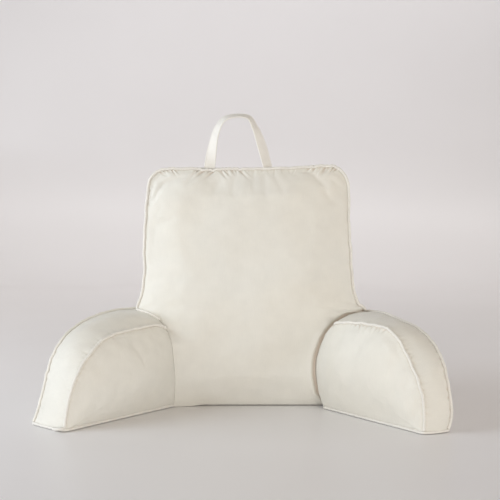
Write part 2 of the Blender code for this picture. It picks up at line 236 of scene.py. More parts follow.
def panelRings(seam, wobble, facing, outward, side, piece, lean):
    # one crowned panel: rings from its seam to its middle, and how far each point is from the seam
    centre, crown, rings = (piece[key][side] for key in ("middles", "crowns", "panelRings"))
    cell = piece["cell"]
    read = stretchedSkin(seam @ plan.T, cell)
    reach = np.abs(((seam - centre) * outward).sum(1))
    safe = 3.5 * cell
    nearEdge = centre + (seam - centre) * (1 - safe / reach)[:, None]
    edgeLift = softened(read(nearEdge @ plan.T), 9)
    shares = 1 - (np.arange(rings + 1) / rings) ** piece["ringSpread"]
    flat = centre + (seam - centre) * shares[:, None, None]
    if lean is not None:
        strays = (seam[:, 1] - lean(seam[:, 2])) * shares[:, None] ** 9
        flat[..., 1] = lean(flat[..., 2]) + strays
    gaps = (1 - shares)[:, None] * reach
    lift = np.where(gaps < safe, edgeLift * gaps / safe, read(flat @ plan.T))
    for _ in range(piece["easing"]):
        before, after = gaps[1:-1] - gaps[:-2], gaps[2:] - gaps[1:-1]
        straight = (lift[:-2] * after + lift[2:] * before) / (after + before)
        lift[1:-1] = 0.5 * lift[1:-1] + 0.5 * straight
    fullness = piece["fullness"] * (1 - piece["pressed"] * np.exp(-flat[..., 2] / piece["pressedHeight"]))
    lift = np.array([softened(ring, 2) for ring in lift ** fullness]) * piece["belly"](flat[..., 2])
    points = flat + facing * (crown * lift)[..., None]
    points += wobble * np.exp(-gaps / piece["wobbleReach"])[..., None]
    return points[1:-1], gaps[1:-1], points[-1].mean(0)


def makeForm(near, far, facing, sides, piece):
    # rings of points from the middle of the near panel, over the band, to the middle of the far one
    outward = outwardOf(near, facing)
    outwardFar = outwardOf(far, facing)
    leans = piece.get("leans", (None, None))
    nearWobble = wobbleOf(near, outward, facing, sides, piece["wobble"], piece["seed"] + 50)
    farWobble = wobbleOf(far, outwardFar, facing, sides, piece["wobble"], piece["seed"] + 51)
    nearPoints, nearGaps, nearMiddle = panelRings(near, nearWobble, -facing, outward, 0, piece, leans[0])
    farPoints, farGaps, farMiddle = panelRings(far, farWobble, facing, outwardFar, 1, piece, leans[1])
    steps = np.linspace(0, 1, piece["bandRings"] + 1)
    shares = steps - piece["bandCrowding"] * np.sin(2 * pi * steps) / (2 * pi)
    onSide = np.arange(len(near)) < sides
    out = outward.copy()
    out[[0, sides - 1], 2] = 0.0
    band = []
    wide = np.linalg.norm(far - near, axis=1, keepdims=True)
    for share in shares:
        points = near + (far - near) * share
        points += nearWobble * np.exp(-share * wide / piece["wobbleReach"])
        points += farWobble * np.exp(-(1 - share) * wide / piece["wobbleReach"])
        bow = (4 * share * (1 - share)) ** piece["bandFullness"]
        points[onSide] += out[onSide] * piece["swell"] * bow
        if 0 < share < 1:
            points[~onSide, 2] = 0.0
        band.append(points)
    width = np.linalg.norm(far - near, axis=1)
    bandGaps = shares[:, None] * width[None, :]
    rings = np.concatenate([nearPoints[::-1], np.array(band), farPoints])
    count = len(near)
    firstBand = len(nearPoints)
    lastBand = firstBand + len(band) - 1
    nearGap = np.full((len(rings), count), 1.0)
    farGap = nearGap.copy()
    nearGap[:firstBand] = nearGaps[::-1]
    nearGap[firstBand:lastBand + 1] = bandGaps
    farGap[firstBand:lastBand + 1] = width[None, :] - bandGaps
    farGap[lastBand + 1:] = farGaps
    run, total = runLength(near)
    return {
        "rings": rings, "middles": np.array((nearMiddle, farMiddle)), "nearGap": nearGap, "farGap": farGap,
        "firstBand": firstBand, "lastBand": lastBand, "sides": sides, "run": run, "total": total,
        "nearOutward": outward, "farOutward": outwardFar, "facing": facing,
        "flat": rings @ plan.T, "flatMiddles": np.array((plan @ nearMiddle, plan @ farMiddle)),
    }


def placeForm(form, corner, turn):
    # from a cushion's own frame to the part's
    spin = np.array(((cos(turn), sin(turn), 0), (-sin(turn), cos(turn), 0), (0, 0, 1)))
    for key in ("rings", "middles", "nearOutward", "farOutward", "facing"):
        form[key] = form[key] @ spin
    form["rings"] = form["rings"] + corner
    form["middles"] = form["middles"] + corner


def runLength(loop):
    step = np.linalg.norm(np.roll(loop, -1, 0) - loop, axis=1)
    return np.concatenate([[0.0], np.cumsum(step)[:-1]]), step.sum()


wander = {
    "waves": 16,
    "lengths": (0.016, 0.060),
    "fadePoints": 30,
}


def wobbleOf(seam, outward, facing, sides, amount, seed):
    # a hand-fed seam is never quite even: small slow waves along it, none at the floor
    chance = np.random.default_rng(seed)
    run, _ = runLength(seam)
    shift = np.zeros((2, len(seam)))
    for _ in range(wander["waves"]):
        length = chance.uniform(*wander["lengths"])
        phase, size, side = chance.uniform(0, 2 * pi), chance.normal(0, 1), chance.integers(0, 2)
        shift[side] += size * np.sin(2 * pi * run / length + phase)
    index = np.arange(len(seam))
    fade = np.clip(np.minimum(index, sides - 1 - index) / wander["fadePoints"], 0, 1)
    shift *= amount / shift.std() * fade
    return outward * shift[0][:, None] + facing * shift[1][:, None]


Waves = namedtuple("Waves", "count shortest longest height")
lumps = [Waves(14, 0.090, 0.220, 0.0011), Waves(26, 0.024, 0.070, 0.00028)]


def dimples(points, seed):
    # soft unevenness of the filling under the cover, as waves in many directions
    chance = np.random.default_rng(seed)
    rise = np.zeros(len(points))
    for waves in lumps:
        part = np.zeros(len(points))
        for _ in range(waves.count):
            way = unit(chance.normal(0, 1, 3))
            length = chance.uniform(waves.shortest, waves.longest)
            part += np.sin(points @ way * 2 * pi / length + chance.uniform(0, 2 * pi))
        rise += waves.height * part / np.sqrt(0.5 * waves.count)
    return rise


def formMesh(name, form):
    # closed mesh of a form, with a flat pattern in metres as its UV map
    points = np.vstack([form["rings"].reshape(-1, 3), form["middles"]])
    rings, count = form["rings"].shape[:2]
    index = np.arange(rings * count).reshape(rings, count)
    after = np.roll(index, -1, 1)
    quads = np.stack([index[:-1], after[:-1], after[1:], index[1:]], -1).reshape(-1, 4)
    fans = []
    for ring, middle, turn in ((0, rings * count, 1), (rings - 1, rings * count + 1, -1)):
        a, b = (index[ring], after[ring])[::turn]
        fans.append(np.stack([b, a, np.full(count, middle)], -1))
    mesh = bpy.data.meshes.new(name)
    mesh.from_pydata(points.tolist(), [], quads.tolist() + fans[0].tolist() + fans[1].tolist())
    flat = form["flat"]
    pattern = mesh.uv_layers.new(name="weave")
    strip = np.zeros((rings, count, 2))
    strip[..., 0] = form["run"][None, :]
    strip[..., 1] = form["nearGap"]
    corners = []
    for ring in range(rings - 1):
        onBand = form["firstBand"] <= ring < form["lastBand"]
        source = strip if onBand else flat
        here, there = source[ring], source[ring + 1]
        hereAfter, thereAfter = np.roll(here, -1, 0), np.roll(there, -1, 0)
        if onBand:
            hereAfter[-1, 0] = form["total"]
            thereAfter[-1, 0] = form["total"]
        corners.append(np.stack([here, hereAfter, thereAfter, there], 1).reshape(-1, 2))
    for ring, turn, middle in ((0, 1, form["flatMiddles"][0]), (rings - 1, -1, form["flatMiddles"][1])):
        a, b = (flat[ring], np.roll(flat[ring], -1, 0))[::turn]
        tip = np.repeat(middle[None], count, 0)
        corners.append(np.stack([b, a, tip], 1).reshape(-1, 2))
    pattern.data.foreach_set("uv", np.concatenate(corners).astype(np.float32).ravel())
    mesh.update()
    if signedVolume(mesh) < 0:
        mesh.flip_normals()
    return mesh


def coordinates(mesh):
    values = np.zeros(len(mesh.vertices) * 3, np.float32)
    mesh.vertices.foreach_get("co", values)
    return values.reshape(-1, 3).astype(float)


def vertexNormals(mesh):
    values = np.zeros(len(mesh.vertices) * 3, np.float32)
    mesh.vertex_normals.foreach_get("vector", values)
    return values.reshape(-1, 3).astype(float)


def setCoordinates(mesh, points):
    mesh.vertices.foreach_set("co", points.astype(np.float32).ravel())
    mesh.update()


def triangles(mesh):
    mesh.calc_loop_triangles()
    values = np.zeros(len(mesh.loop_triangles) * 3, np.int32)
    mesh.loop_triangles.foreach_get("vertices", values)
    return values.reshape(-1, 3)


def signedVolume(mesh):
    points = coordinates(mesh)
    a, b, c = (points[triangles(mesh)[:, k]] for k in range(3))
    return (a * np.cross(b, c)).sum() / 6


def linked(name, data):
    made = bpy.data.objects.new(name, data)
    scene.collection.objects.link(made)
    return made


def applied(source, name):
    # the evaluated shape of an object as a plain mesh of its own
    bpy.context.view_layer.update()
    mesh = bpy.data.meshes.new_from_object(source.evaluated_get(bpy.context.evaluated_depsgraph_get()))
    mesh.name = name
    return mesh


def treeOf(points):
    tree = KDTree(len(points))
    for index, point in enumerate(points):
        tree.insert(point, index)
    tree.balance()
    return tree


# filling a cushion: its cover is blown up while its seams stay sewn
filling = {
    "voxel": 0.0055,
    "frames": 20,
    "sewnReach": 0.005,
    "easeReach": 0.012,
    "standsUnder": 0.004,  # the cover keeps its place on the floor up to this height
    "cover": {
        "quality": 6,
        "mass": 0.2,
        "tension_stiffness": 20,
        "compression_stiffness": 20,
        "shear_stiffness": 8,
        "bending_stiffness": 0.6,
        "use_pressure": True,
        "uniform_pressure_force": 4.0,
        "shrink_min": -0.016,  # a negative shrink: the cover is cut a little large
        "vertex_group_mass": "sewn",
    },
}


def carriedTo(points, start, faces, moved):
    # how far a surface moved, read where it lies nearest to each point
    surface = BVHTree.FromPolygons(start.tolist(), faces.tolist())
    found = [surface.find_nearest(point) for point in points]
    spots = np.array([spot for spot, _, _, _ in found])
    corners = faces[[face for _, _, face, _ in found]]
    a, b, c = (start[corners[:, k]] for k in range(3))
    normal = np.cross(b - a, c - a)
    area = np.maximum((normal * normal).sum(1), 1e-20)
    shareB = (np.cross(spots - a, c - a) * normal).sum(1) / area
    shareC = (np.cross(b - a, spots - a) * normal).sum(1) / area
    shares = np.clip(np.stack([1 - shareB - shareC, shareB, shareC], 1), 0, 1)
    shares /= shares.sum(1, keepdims=True)
    return (moved[corners] * shares[..., None]).sum(1)


def fillCushion(mesh, held, most):
    # how far each point of a mesh moves when the cushion is filled, at most so far
    body = linked("filling", mesh.copy())
    remesh = body.modifiers.new("even", "REMESH")
    remesh.mode = "VOXEL"
    remesh.voxel_size = filling["voxel"]
    even = applied(body, "even")
    bpy.data.objects.remove(body)
    start = coordinates(even)
    body = linked("filling", even)
    sewn = body.vertex_groups.new(name="sewn")
    tree = treeOf(held)
    for index, point in enumerate(start):
        away = tree.find(point)[2]
        grip = 1 - (away - filling["sewnReach"]) / filling["easeReach"]
        if point[2] < filling["standsUnder"]:
            grip = 1.0
        if grip > 0:
            sewn.add([index], min(grip, 1.0) ** 2, "REPLACE")
    cloth = body.modifiers.new("cover", "CLOTH")
    for key, value in filling["cover"].items():
        setattr(cloth.settings, key, value)
    cloth.settings.effector_weights.gravity = 0
    cloth.collision_settings.use_collision = False
    cloth.point_cache.frame_start = 1
    cloth.point_cache.frame_end = filling["frames"]
    for step in range(1, filling["frames"] + 1):
        scene.frame_set(step)
    after = applied(body, "filled")
    moved = coordinates(after) - start
    size = np.linalg.norm(moved, axis=1, keepdims=True)
    moved *= np.minimum(1, most / np.maximum(size, 1e-9))
    result = carriedTo(coordinates(mesh), start, triangles(even), moved)
    bpy.data.objects.remove(body)
    scene.frame_set(1)
    print("filled with", len(start), "points, moved", round(float(size.mean()) * 1000, 1), "mm on average,",
          round(float(size.max()) * 1000, 1), "mm at most")
    return result


# a tuck is a short crease that starts at a seam: a valley with a small ridge beside it
Zone = namedtuple("Zone", "start end spacing length depth slant")
tuckForm = {
    "slantSpread": 0.28,
    "lengths": (0.5, 1.5),  # shares of what the zone says, as the depths and spacings below
    "depths": (0.35, 1.25),
    "spacings": (0.45, 1.6),
    "widths": (0.0012, 0.0026),
    "widening": 1.3,  # how much of its width a tuck gains up to its end
    "ridge": (0.55, 2.0, 1.2),
    "atSeam": 0.25,  # the share of its depth that a tuck has right at its seam
    "startReach": 0.003,  # over which it would gain its whole depth
    "fade": 1.2,
    "aside": (6, 0.004),  # how far to each side it is worked out: in widths, and a little more
    # painted shade: how deep a tuck must be for its full painted shade, and how dark that is
    "shadeDepth": 0.0022,
    "shade": 0.6,
}


def valleyOf(offset, high, away, wide):
    # a valley one unit deep, with a ridge so high, so far away and so wide on one side
    return np.exp(-offset ** 2) - high * np.exp(-((offset - away) / wide) ** 2)


def layTucks(zones, total, seed):
    chance = np.random.default_rng(seed)
    tucks = []
    for zone in zones:
        spot = zone.start * total
        while spot < zone.end * total:
            tucks.append((
                spot,
                zone.slant + chance.normal(0, tuckForm["slantSpread"]),
                zone.length * chance.uniform(*tuckForm["lengths"]),
                chance.uniform(*tuckForm["widths"]),
                zone.depth * chance.uniform(*tuckForm["depths"]),
            ))
            spot += zone.spacing * chance.uniform(*tuckForm["spacings"])
    return tucks


def tuckDepth(run, gap, total, tucks):
    # how far each point sinks, from how far along the seam and how far from it the point lies
    depth = np.zeros(run.shape)
    widths, more = tuckForm["aside"]
    for spot, slant, length, width, most in tucks:
        across = run - spot - slant * gap
        across -= total * np.round(across / total)
        near = (np.abs(across) < widths * width + more) & (gap < length)
        share = gap[near] / length
        wide = width * (1 + tuckForm["widening"] * share)
        valley = valleyOf(across[near] / wide, *tuckForm["ridge"])
        started = np.clip(tuckForm["atSeam"] + gap[near] / tuckForm["startReach"], 0, 1)
        depth[near] += most * valley * (1 - share) ** tuckForm["fade"] * started
    return depth


# a soft mark is a long shallow valley on a panel, from one place to another on its flat pattern
Mark = namedtuple("Mark", "fromAcross fromUp toAcross toUp width depth")
markForm = {
    "ridge": (0.25, 1.9, 0.9),
    "widening": (0.6, 0.8),  # how wide it starts and how much it gains, as shares of its width
    "fade": 0.8,
    # painted shade: how deep a mark must be for its full painted shade, and how dark that is
    "shadeDepth": 0.004,
    "shade": 0.22,
}


def markDepth(flat, marks):
    depth = np.zeros(flat.shape[:-1])
    narrow, gain = markForm["widening"]
    for mark in marks:
        start = np.array((mark.fromAcross, mark.fromUp))
        way = np.array((mark.toAcross, mark.toUp)) - start
        share = np.clip(((flat - start) @ way) / (way @ way), 0, 1)
        away = np.linalg.norm(flat - start - share[..., None] * way, axis=-1)
        wide = mark.width * (narrow + gain * share)
        fade = np.cos(0.5 * pi * share) ** markForm["fade"]
        depth += mark.depth * fade * valleyOf(away / wide, *markForm["ridge"])
    return depth


def blowUp(mesh, form, piece):
    # the filling's push on a cushion, less on its band and evened out along each ring
    first, last = form["firstBand"], form["lastBand"]
    held = np.vstack([form["rings"][first], form["rings"][last]])
    moved = fillCushion(mesh, held, piece["fillReach"])
    sheet = moved[:-2].reshape(form["rings"].shape)
    sheet[first:last + 1] *= piece["bandGive"]
    for ring in sheet:
        for axis in range(3):
            ring[:, axis] = softened(ring[:, axis], piece["fillEasing"])
    setCoordinates(mesh, coordinates(mesh) + moved)


def withMiddles(rings, value):
    # the rings' values in one row, and one more for the middle of each panel
    return np.append(rings.ravel(), (value, value))


cover = {
    "floorReach": 0.0008,  # what lies lower than this stays on the floor
    "calmReach": 0.02,  # the cover is more and more even this close to a seam or the floor
    # painted shade beside a seam fades out over this reach
    "shadeReach": 0.0020,
}


def stitchedCushion(name, form, piece):
    # the smooth form, filled, with its tucks and marks, and shade painted into its cloth in them and beside
    # its seams
    mesh = formMesh(name, form)
    rings, count = form["rings"].shape[:2]
    first, last = form["firstBand"], form["lastBand"]
    blowUp(mesh, form, piece)
    run = np.broadcast_to(form["run"], (rings, count))
    depth = np.zeros((rings, count))
    inset = 4  # rings from a seam to where its tucks are deepest
    tuckSets = (
        ("nearTucks", slice(0, first + 1), form["nearGap"]),
        ("nearBandTucks", slice(first, last + 1), form["nearGap"]),
        ("farBandTucks", slice(first, last + 1), form["farGap"]),
        ("farTucks", slice(last, rings), form["farGap"]),
    )
    for number, (key, part, gap) in enumerate(tuckSets):
        tucks = layTucks(piece[key], form["total"], piece["seed"] + number)
        depth[part] += tuckDepth(run[part], gap[part], form["total"], tucks)
    form["nearPull"] = depth[first - inset].clip(0)
    form["farPull"] = depth[last + inset].clip(0)
    # painted shade: the cloth is painted darker down in each tuck, by its depth
    shade = tuckForm["shade"] * np.clip(depth / tuckForm["shadeDepth"], 0, 1)
    marked = markDepth(form["flat"][:first + 1], piece["marks"])
    depth[:first + 1] += marked
    # painted shade: a mark is painted a little darker too
    shade[:first + 1] += markForm["shade"] * np.clip(marked / markForm["shadeDepth"], 0, 1)
    points = coordinates(mesh)
    onFloor = points[:, 2] < cover["floorReach"]
    seamGap = withMiddles(np.minimum(form["nearGap"], form["farGap"]), 1.0)
    uneven = dimples(points, piece["seed"])
    for away in (seamGap, points[:, 2]):
        uneven = uneven * np.clip(away / cover["calmReach"], 0, 1)
    points += vertexNormals(mesh) * (uneven - withMiddles(depth, 0.0))[:, None]
    points[onFloor, 2] = coordinates(mesh)[onFloor, 2]
    points[:, 2] = np.maximum(points[:, 2], 0.0)
    setCoordinates(mesh, points)
    grid = points[:-2].reshape(rings, count, 3)
    form["nearSeam"] = grid[first]
    form["farSeam"] = grid[last]
    # painted shade: darker again right beside each seam; the sum is stored on the points for the cloth's
    # colour
    paintedShade = mesh.attributes.new("paintedShade", "FLOAT", "POINT")
    shade = withMiddles(shade, 0.0) + piece["seamShade"] * np.exp(-seamGap / cover["shadeReach"])
    paintedShade.data.foreach_set("value", np.clip(shade, 0, 1).astype(np.float32))
    mesh.shade_smooth()
    made = linked(name, mesh)
    print(name, "sewn and filled:", len(mesh.polygons), "faces")
    return made


backPiece = {
    "sideSteps": 760,
    "floorSteps": 100,
    "gatheredFrom": 0.42,  # from this height up the points lie closer, for the finer tucks there
    "gatheredDensity": 1.2,
    "gatheredFade": 0.05,
    "height": 0.530,
    "depthTop": 0.150,
    "depthFloor": 0.185,
    "toe": 0.012,
    "tuckedUnder": 0.006,  # how far the floor stretch of the front seam is drawn under
    "crowns": (0.050, 0.034),
    "bellyHeight": 0.225,
    "bellyLean": 0.90,
    "swell": 0.0025,
    "panelRings": (56, 22),
    "ringSpread": 1.8,
    "bandRings": 22,
    "bandCrowding": 0.8,
    "bandFullness": 0.7,
    "fullness": 0.62,
    "cell": 0.003,
    "easing": 80,
    "pressed": 0.40,  # how much steeper the panels stand up from the floor
    "pressedHeight": 0.075,
    "wobble": 0.0004,
    "wobbleReach": 0.010,
    "fillReach": 0.009,
    "fillEasing": 8,  # over how many points each way the filling's push is evened out
    "bandGive": 0.30,  # how much of the filling's push the band takes
    "seamShade": 0.45,  # painted shade: how much darker the cloth is painted right beside a seam
    "seed": 41,
    "nearTucks": [
        Zone(0.050, 0.215, 0.0300, 0.012, 0.0005, 0.1),
        Zone(0.226, 0.243, 0.0085, 0.013, 0.0014, 1.1),
        Zone(0.268, 0.288, 0.0075, 0.013, 0.0042, 0.5),
        Zone(0.288, 0.308, 0.0160, 0.008, 0.0006, 0.2),
        Zone(0.309, 0.332, 0.0070, 0.019, 0.0040, -1.4),
        Zone(0.334, 0.360, 0.0068, 0.017, 0.0036, 0.8),
        Zone(0.360, 0.428, 0.0085, 0.013, 0.0013, 0.0),
        Zone(0.436, 0.467, 0.0078, 0.019, 0.0042, -0.2),
        Zone(0.475, 0.530, 0.0140, 0.012, 0.0008, 0.2),
        Zone(0.530, 0.730, 0.0300, 0.012, 0.0005, 0.0),
    ],
    "nearBandTucks": [
        Zone(0.02, 0.73, 0.016, 0.016, 0.0010, 0.2),
        Zone(0.420, 0.475, 0.009, 0.016, 0.0018, 0.2),
    ],
    "farBandTucks": [Zone(0.02, 0.73, 0.015, 0.016, 0.0011, -0.2)],
    "farTucks": [
        Zone(0.02, 0.24, 0.026, 0.014, 0.0008, 0.1),
        Zone(0.24, 0.50, 0.012, 0.022, 0.0015, 0.1),
        Zone(0.50, 0.73, 0.026, 0.014, 0.0008, -0.1),
    ],
    "marks": [
        Mark(-0.196, 0.196, -0.100, 0.128, 0.016, 0.0050),  # the dent beside the left arm
        Mark(-0.085, 0.520, -0.066, 0.455, 0.028, 0.0030),  # the hollow under the strap's left foot
        Mark(0.262, 0.212, 0.176, 0.220, 0.0052, 0.0044),  # drag lines from the right crease
        Mark(0.262, 0.206, 0.182, 0.198, 0.0048, 0.0040),
        Mark(0.256, 0.202, 0.190, 0.174, 0.0052, 0.0034),
        Mark(0.262, 0.216, 0.200, 0.246, 0.0060, 0.0018),
        Mark(-0.236, 0.214, -0.180, 0.236, 0.0060, 0.0010),
    ],
}


def closerAtTop(line, steps):
    # spaces a seam's points again, closer together along the gathered top
    height = 0.5 * (line[1:, 2] + line[:-1, 2])
    gathered = np.clip((height - backPiece["gatheredFrom"]) / backPiece["gatheredFade"], 0, 1)
    return spaced(line, stepsOf(line) * (1 + backPiece["gatheredDensity"] * gathered), steps + 1)


def makeBack():
    seams = []
    steps = backPiece["sideSteps"]
    for side in ("frontAcross", "rearAcross"):
        edge = [(getattr(row, side), 0.0, row.height) for row in backEdge]
        line = closerAtTop(smoothLine(edge, 4 * steps), steps)
        seams.append(closeOnFloor(line, backPiece["floorSteps"]))
    front, rear = seams
    height = backPiece["height"]
    sides = backPiece["sideSteps"] + 1
    deeper = backPiece["depthFloor"] - backPiece["depthTop"]
    backPiece["leans"] = (
        lambda up: -backPiece["toe"] * (1 - up / height) ** 2,
        lambda up: backPiece["depthTop"] + deeper * (1 - up / height),
    )
    frontLean, rearLean = backPiece["leans"]
    front[:, 1] = frontLean(front[:, 2])
    under = np.sin(np.linspace(0, pi, backPiece["floorSteps"] + 1)[1:-1]) ** 0.6
    front[sides:, 1] += backPiece["tuckedUnder"] * under
    rear[:, 1] = rearLean(rear[:, 2])
    middle = 0.5 * (front[0, 0] + front[sides - 1, 0])
    low = backPiece["bellyHeight"]
    backPiece["middles"] = (
        np.array((middle, frontLean(low), low)),
        np.array((middle, rearLean(low), low)),
    )
    backPiece["belly"] = lambda up: 1 + backPiece["bellyLean"] * (low - up)
    form = makeForm(front, rear, np.array((0.0, 1.0, 0.0)), sides, backPiece)
    placeForm(form, backCorner, 0.0)
    return stitchedCushion("backCushion", form, backPiece), form


Arm = namedtuple("Arm", "side rim corner splay outward")
arms = [
    Arm("Left", leftRim, (-0.162, -0.022, 0.0), 36.0, -1.0),
    Arm("Right", rightRim, (0.157, -0.036, 0.0), 33.0, 1.0),
]

armPiece = {
    "sideSteps": 380,
    "floorSteps": 70,
    "crowns": (0.030, 0.023),
    "bellyShare": 0.45,
    "swell": 0.008,
    "panelRings": (34, 24),
    "ringSpread": 1.8,
    "bandRings": 24,
    "bandCrowding": 0.8,
    "bandFullness": 0.7,
    "fullness": 0.62,
    "cell": 0.003,
    "easing": 60,
    "pressed": 0.30,
    "pressedHeight": 0.050,
    "wobbleReach": 0.010,
    "belly": np.ones_like,
    "fillReach": 0.008,
    "fillEasing": 14,
    "bandGive": 0.80,
    # painted shade beside the arms' seams, darker than on the back
    "seamShade": 0.75,
    "marks": [],
}
armTucks = {
    "Left": {
        "seed": 7,
        "wobble": 0.0005,
        "nearTucks": [
            Zone(0.10, 0.72, 0.0125, 0.006, 0.0006, 0.2),
            Zone(0.38, 0.56, 0.010, 0.007, 0.0012, 0.3),
        ],
        "nearBandTucks": [Zone(0.10, 0.72, 0.012, 0.014, 0.0011, 0.1)],
        "farBandTucks": [Zone(0.10, 0.72, 0.014, 0.014, 0.0009, -0.1)],
        "farTucks": [Zone(0.10, 0.72, 0.013, 0.018, 0.0011, 0.1)],
    },
    "Right": {
        "seed": 19,
        "wobble": 0.0004,
        "nearTucks": [
            Zone(0.10, 0.72, 0.0125, 0.009, 0.0007, -0.2),
            Zone(0.30, 0.42, 0.010, 0.012, 0.0032, 0.2),
        ],
        "nearBandTucks": [Zone(0.10, 0.72, 0.011, 0.014, 0.0012, 0.1)],
        "farBandTucks": [Zone(0.10, 0.72, 0.011, 0.014, 0.0014, -0.1)],
        "farTucks": [Zone(0.10, 0.72, 0.013, 0.018, 0.0011, 0.1)],
    },
}


def makeArm(arm):
    piece = dict(armPiece, **armTucks[arm.side])
    inner = smoothLine([(row.innerAlong, 0.0, row.innerHeight) for row in arm.rim], piece["sideSteps"])
    outer = [(row.outerAlong, arm.outward * row.width, row.outerHeight) for row in arm.rim]
    outer = smoothLine(outer, piece["sideSteps"])
    inner = closeOnFloor(inner, piece["floorSteps"])
    outer = closeOnFloor(outer, piece["floorSteps"])
    middles = []
    for seam in (inner, outer):
        spot = seam.mean(0)
        spot[2] = piece["bellyShare"] * seam[:, 2].max()
        middles.append(spot)
    piece["middles"] = middles
    form = makeForm(inner, outer, np.array((0.0, arm.outward, 0.0)), piece["sideSteps"] + 1, piece)
    placeForm(form, backCorner + arm.corner, -pi / 2 + arm.outward * radians(arm.splay))
    return stitchedCushion("arm" + arm.side, form, piece), form


armForms = {}
armCushions = {}
for arm in arms:
    armCushions[arm.side], armForms[arm.side] = makeArm(arm)
backCushion, backForm = makeBack()


# where an arm is sewn to the back, the back's cover is drawn in and the arm takes its place
# the left arm runs softly into the back, filled out below its top; the right one stands in a channel
# painted shade: the right join's channel is painted darker on both covers, the left one not at all
Join = namedtuple("Join", "backSink backReach backEdge armSink armReach lip lipPlace stain top")
joins = {
    "Left": Join(-0.0120, 0.045, 2, -0.0010, 0.045, 0.0000, 0.0200, 0.00, 0.175),
    "Right": Join(0.0050, 0.0085, 6, 0.0040, 0.010, 0.0014, 0.0130, 1.00, 1.0),
}
joining = {
    "gap": 0.0005,
    "fade": 0.03,  # the height over which a join's shape fades out under its top
    "behind": 0.010,  # how far behind the front seam it has faded out
    "lipWidth": 0.0045,
    "joinShadeReach": 0.0085,  # how far the painted shade of a join reaches
    "armJoinShade": 0.5,  # how much of that painted shade the arm's side has
    "floorReach": 0.003,  # lower than this a cover moves level
    "fineReach": 0.018,  # how far from an arm the back's faces are cut smaller
    "fineCuts": 2,
    "sharpFrom": 55,  # degrees
}


def surfaceOf(mesh):
    return BVHTree.FromPolygons(coordinates(mesh).tolist(), triangles(mesh).tolist())


def signedGap(surface, point, reach):
    # how far a point is outside a surface, less than nothing inside, or None when it is further
    spot, normal, _, away = surface.find_nearest(point, reach)
    if spot is None:
        return None
    return -away if (Vector(point) - spot).dot(normal) < 0 else away


def refineBeside(mesh, neighbour, reach, cuts):
    # cuts the faces beside a join smaller, so that the cover can turn sharply there
    surface = surfaceOf(neighbour)
    fine = bmesh.new()
    fine.from_mesh(mesh)
    close = {vert for vert in fine.verts if surface.find_nearest(vert.co, reach)[0] is not None}
    edges = [edge for edge in fine.edges if edge.verts[0] in close and edge.verts[1] in close]
    bmesh.ops.subdivide_edges(fine, edges=edges, cuts=cuts, use_grid_fill=True)
    fine.to_mesh(mesh)
    fine.free()
    mesh.update()


def drawIn(mesh, neighbour, sink, reach, edge, lip, lipPlace, stain, top):
    # lowers a cover beside its join with a neighbour, or fills it out where the sink is below nothing, and
    # paints shade on the cloth beside the join
    surface = surfaceOf(neighbour)
    places = coordinates(neighbour)
    points = coordinates(mesh)
    normals = vertexNormals(mesh)
    normals[points[:, 2] < joining["floorReach"], 2] = 0.0
    behind = joining["behind"]
    lipWidth = joining["lipWidth"]
    furthest = max(2.5 * reach, lipPlace + 3 * lipWidth)
    near = ((points > places.min(0) - furthest) & (points < places.max(0) + furthest)).all(1)
    paintedShade = mesh.attributes["paintedShade"].data
    for index in np.flatnonzero(near):
        gap = signedGap(surface, points[index], furthest)
        if gap is None:
            continue
        gap = max(gap, 0.0)
        fade = min(max((top - points[index][2]) / joining["fade"], 0.0), 1.0)
        ahead = backCorner[1] + behind - points[index][1]
        fade *= min(max(ahead / behind, 0.0), 1.0)
        valley = sink * np.exp(-(gap / reach) ** edge) - lip * np.exp(-((gap - lipPlace) / lipWidth) ** 2)
        points[index] -= normals[index] * valley * fade
        # painted shade: the cloth beside the join is painted darker
        shadeHere = fade * stain * np.exp(-(gap / joining["joinShadeReach"]) ** edge)
        paintedShade[index].value = min(1.0, paintedShade[index].value + shadeHere)
    points[:, 2] = np.maximum(points[:, 2], 0.0)
    setCoordinates(mesh, points)


def joinArms():
    for arm in arms:
        armMesh = armCushions[arm.side].data
        way = joins[arm.side]
        stain = joining["armJoinShade"] * way.stain
        drawIn(armMesh, backCushion.data, way.armSink, way.armReach, 2, 0.0, 0.0, stain, way.top)
    for arm in arms:
        armMesh = armCushions[arm.side].data
        way = joins[arm.side]
        if way.backEdge > 2:
            refineBeside(backCushion.data, armMesh, joining["fineReach"], joining["fineCuts"])
        drawIn(backCushion.data, armMesh, way.backSink, way.backReach, way.backEdge, way.lip, way.lipPlace,
               way.stain, way.top)
    whole = surfaceOf(backCushion.data)
    cutters = []
    for arm in arms:
        cutter = linked("cutter" + arm.side, armCushions[arm.side].data.copy())
        setCoordinates(cutter.data, coordinates(cutter.data) + vertexNormals(cutter.data) * joining["gap"])
        cut = backCushion.modifiers.new(arm.side, "BOOLEAN")
        cut.operation = "DIFFERENCE"
        cut.solver = "MANIFOLD"
        cut.object = cutter
        cutters.append(cutter)
    mesh = applied(backCushion, "backCushion")
    backCushion.modifiers.clear()
    backCushion.data = mesh
    for cutter in cutters:
        bpy.data.objects.remove(cutter)
    mesh.shade_smooth()
    mesh.set_sharp_from_angle(angle=radians(joining["sharpFrom"]))
    print("arms joined to the back:", len(triangles(mesh)), "triangles")
    return whole


wholeBack = joinArms()  # the back's surface before the arms' places were cut out of it


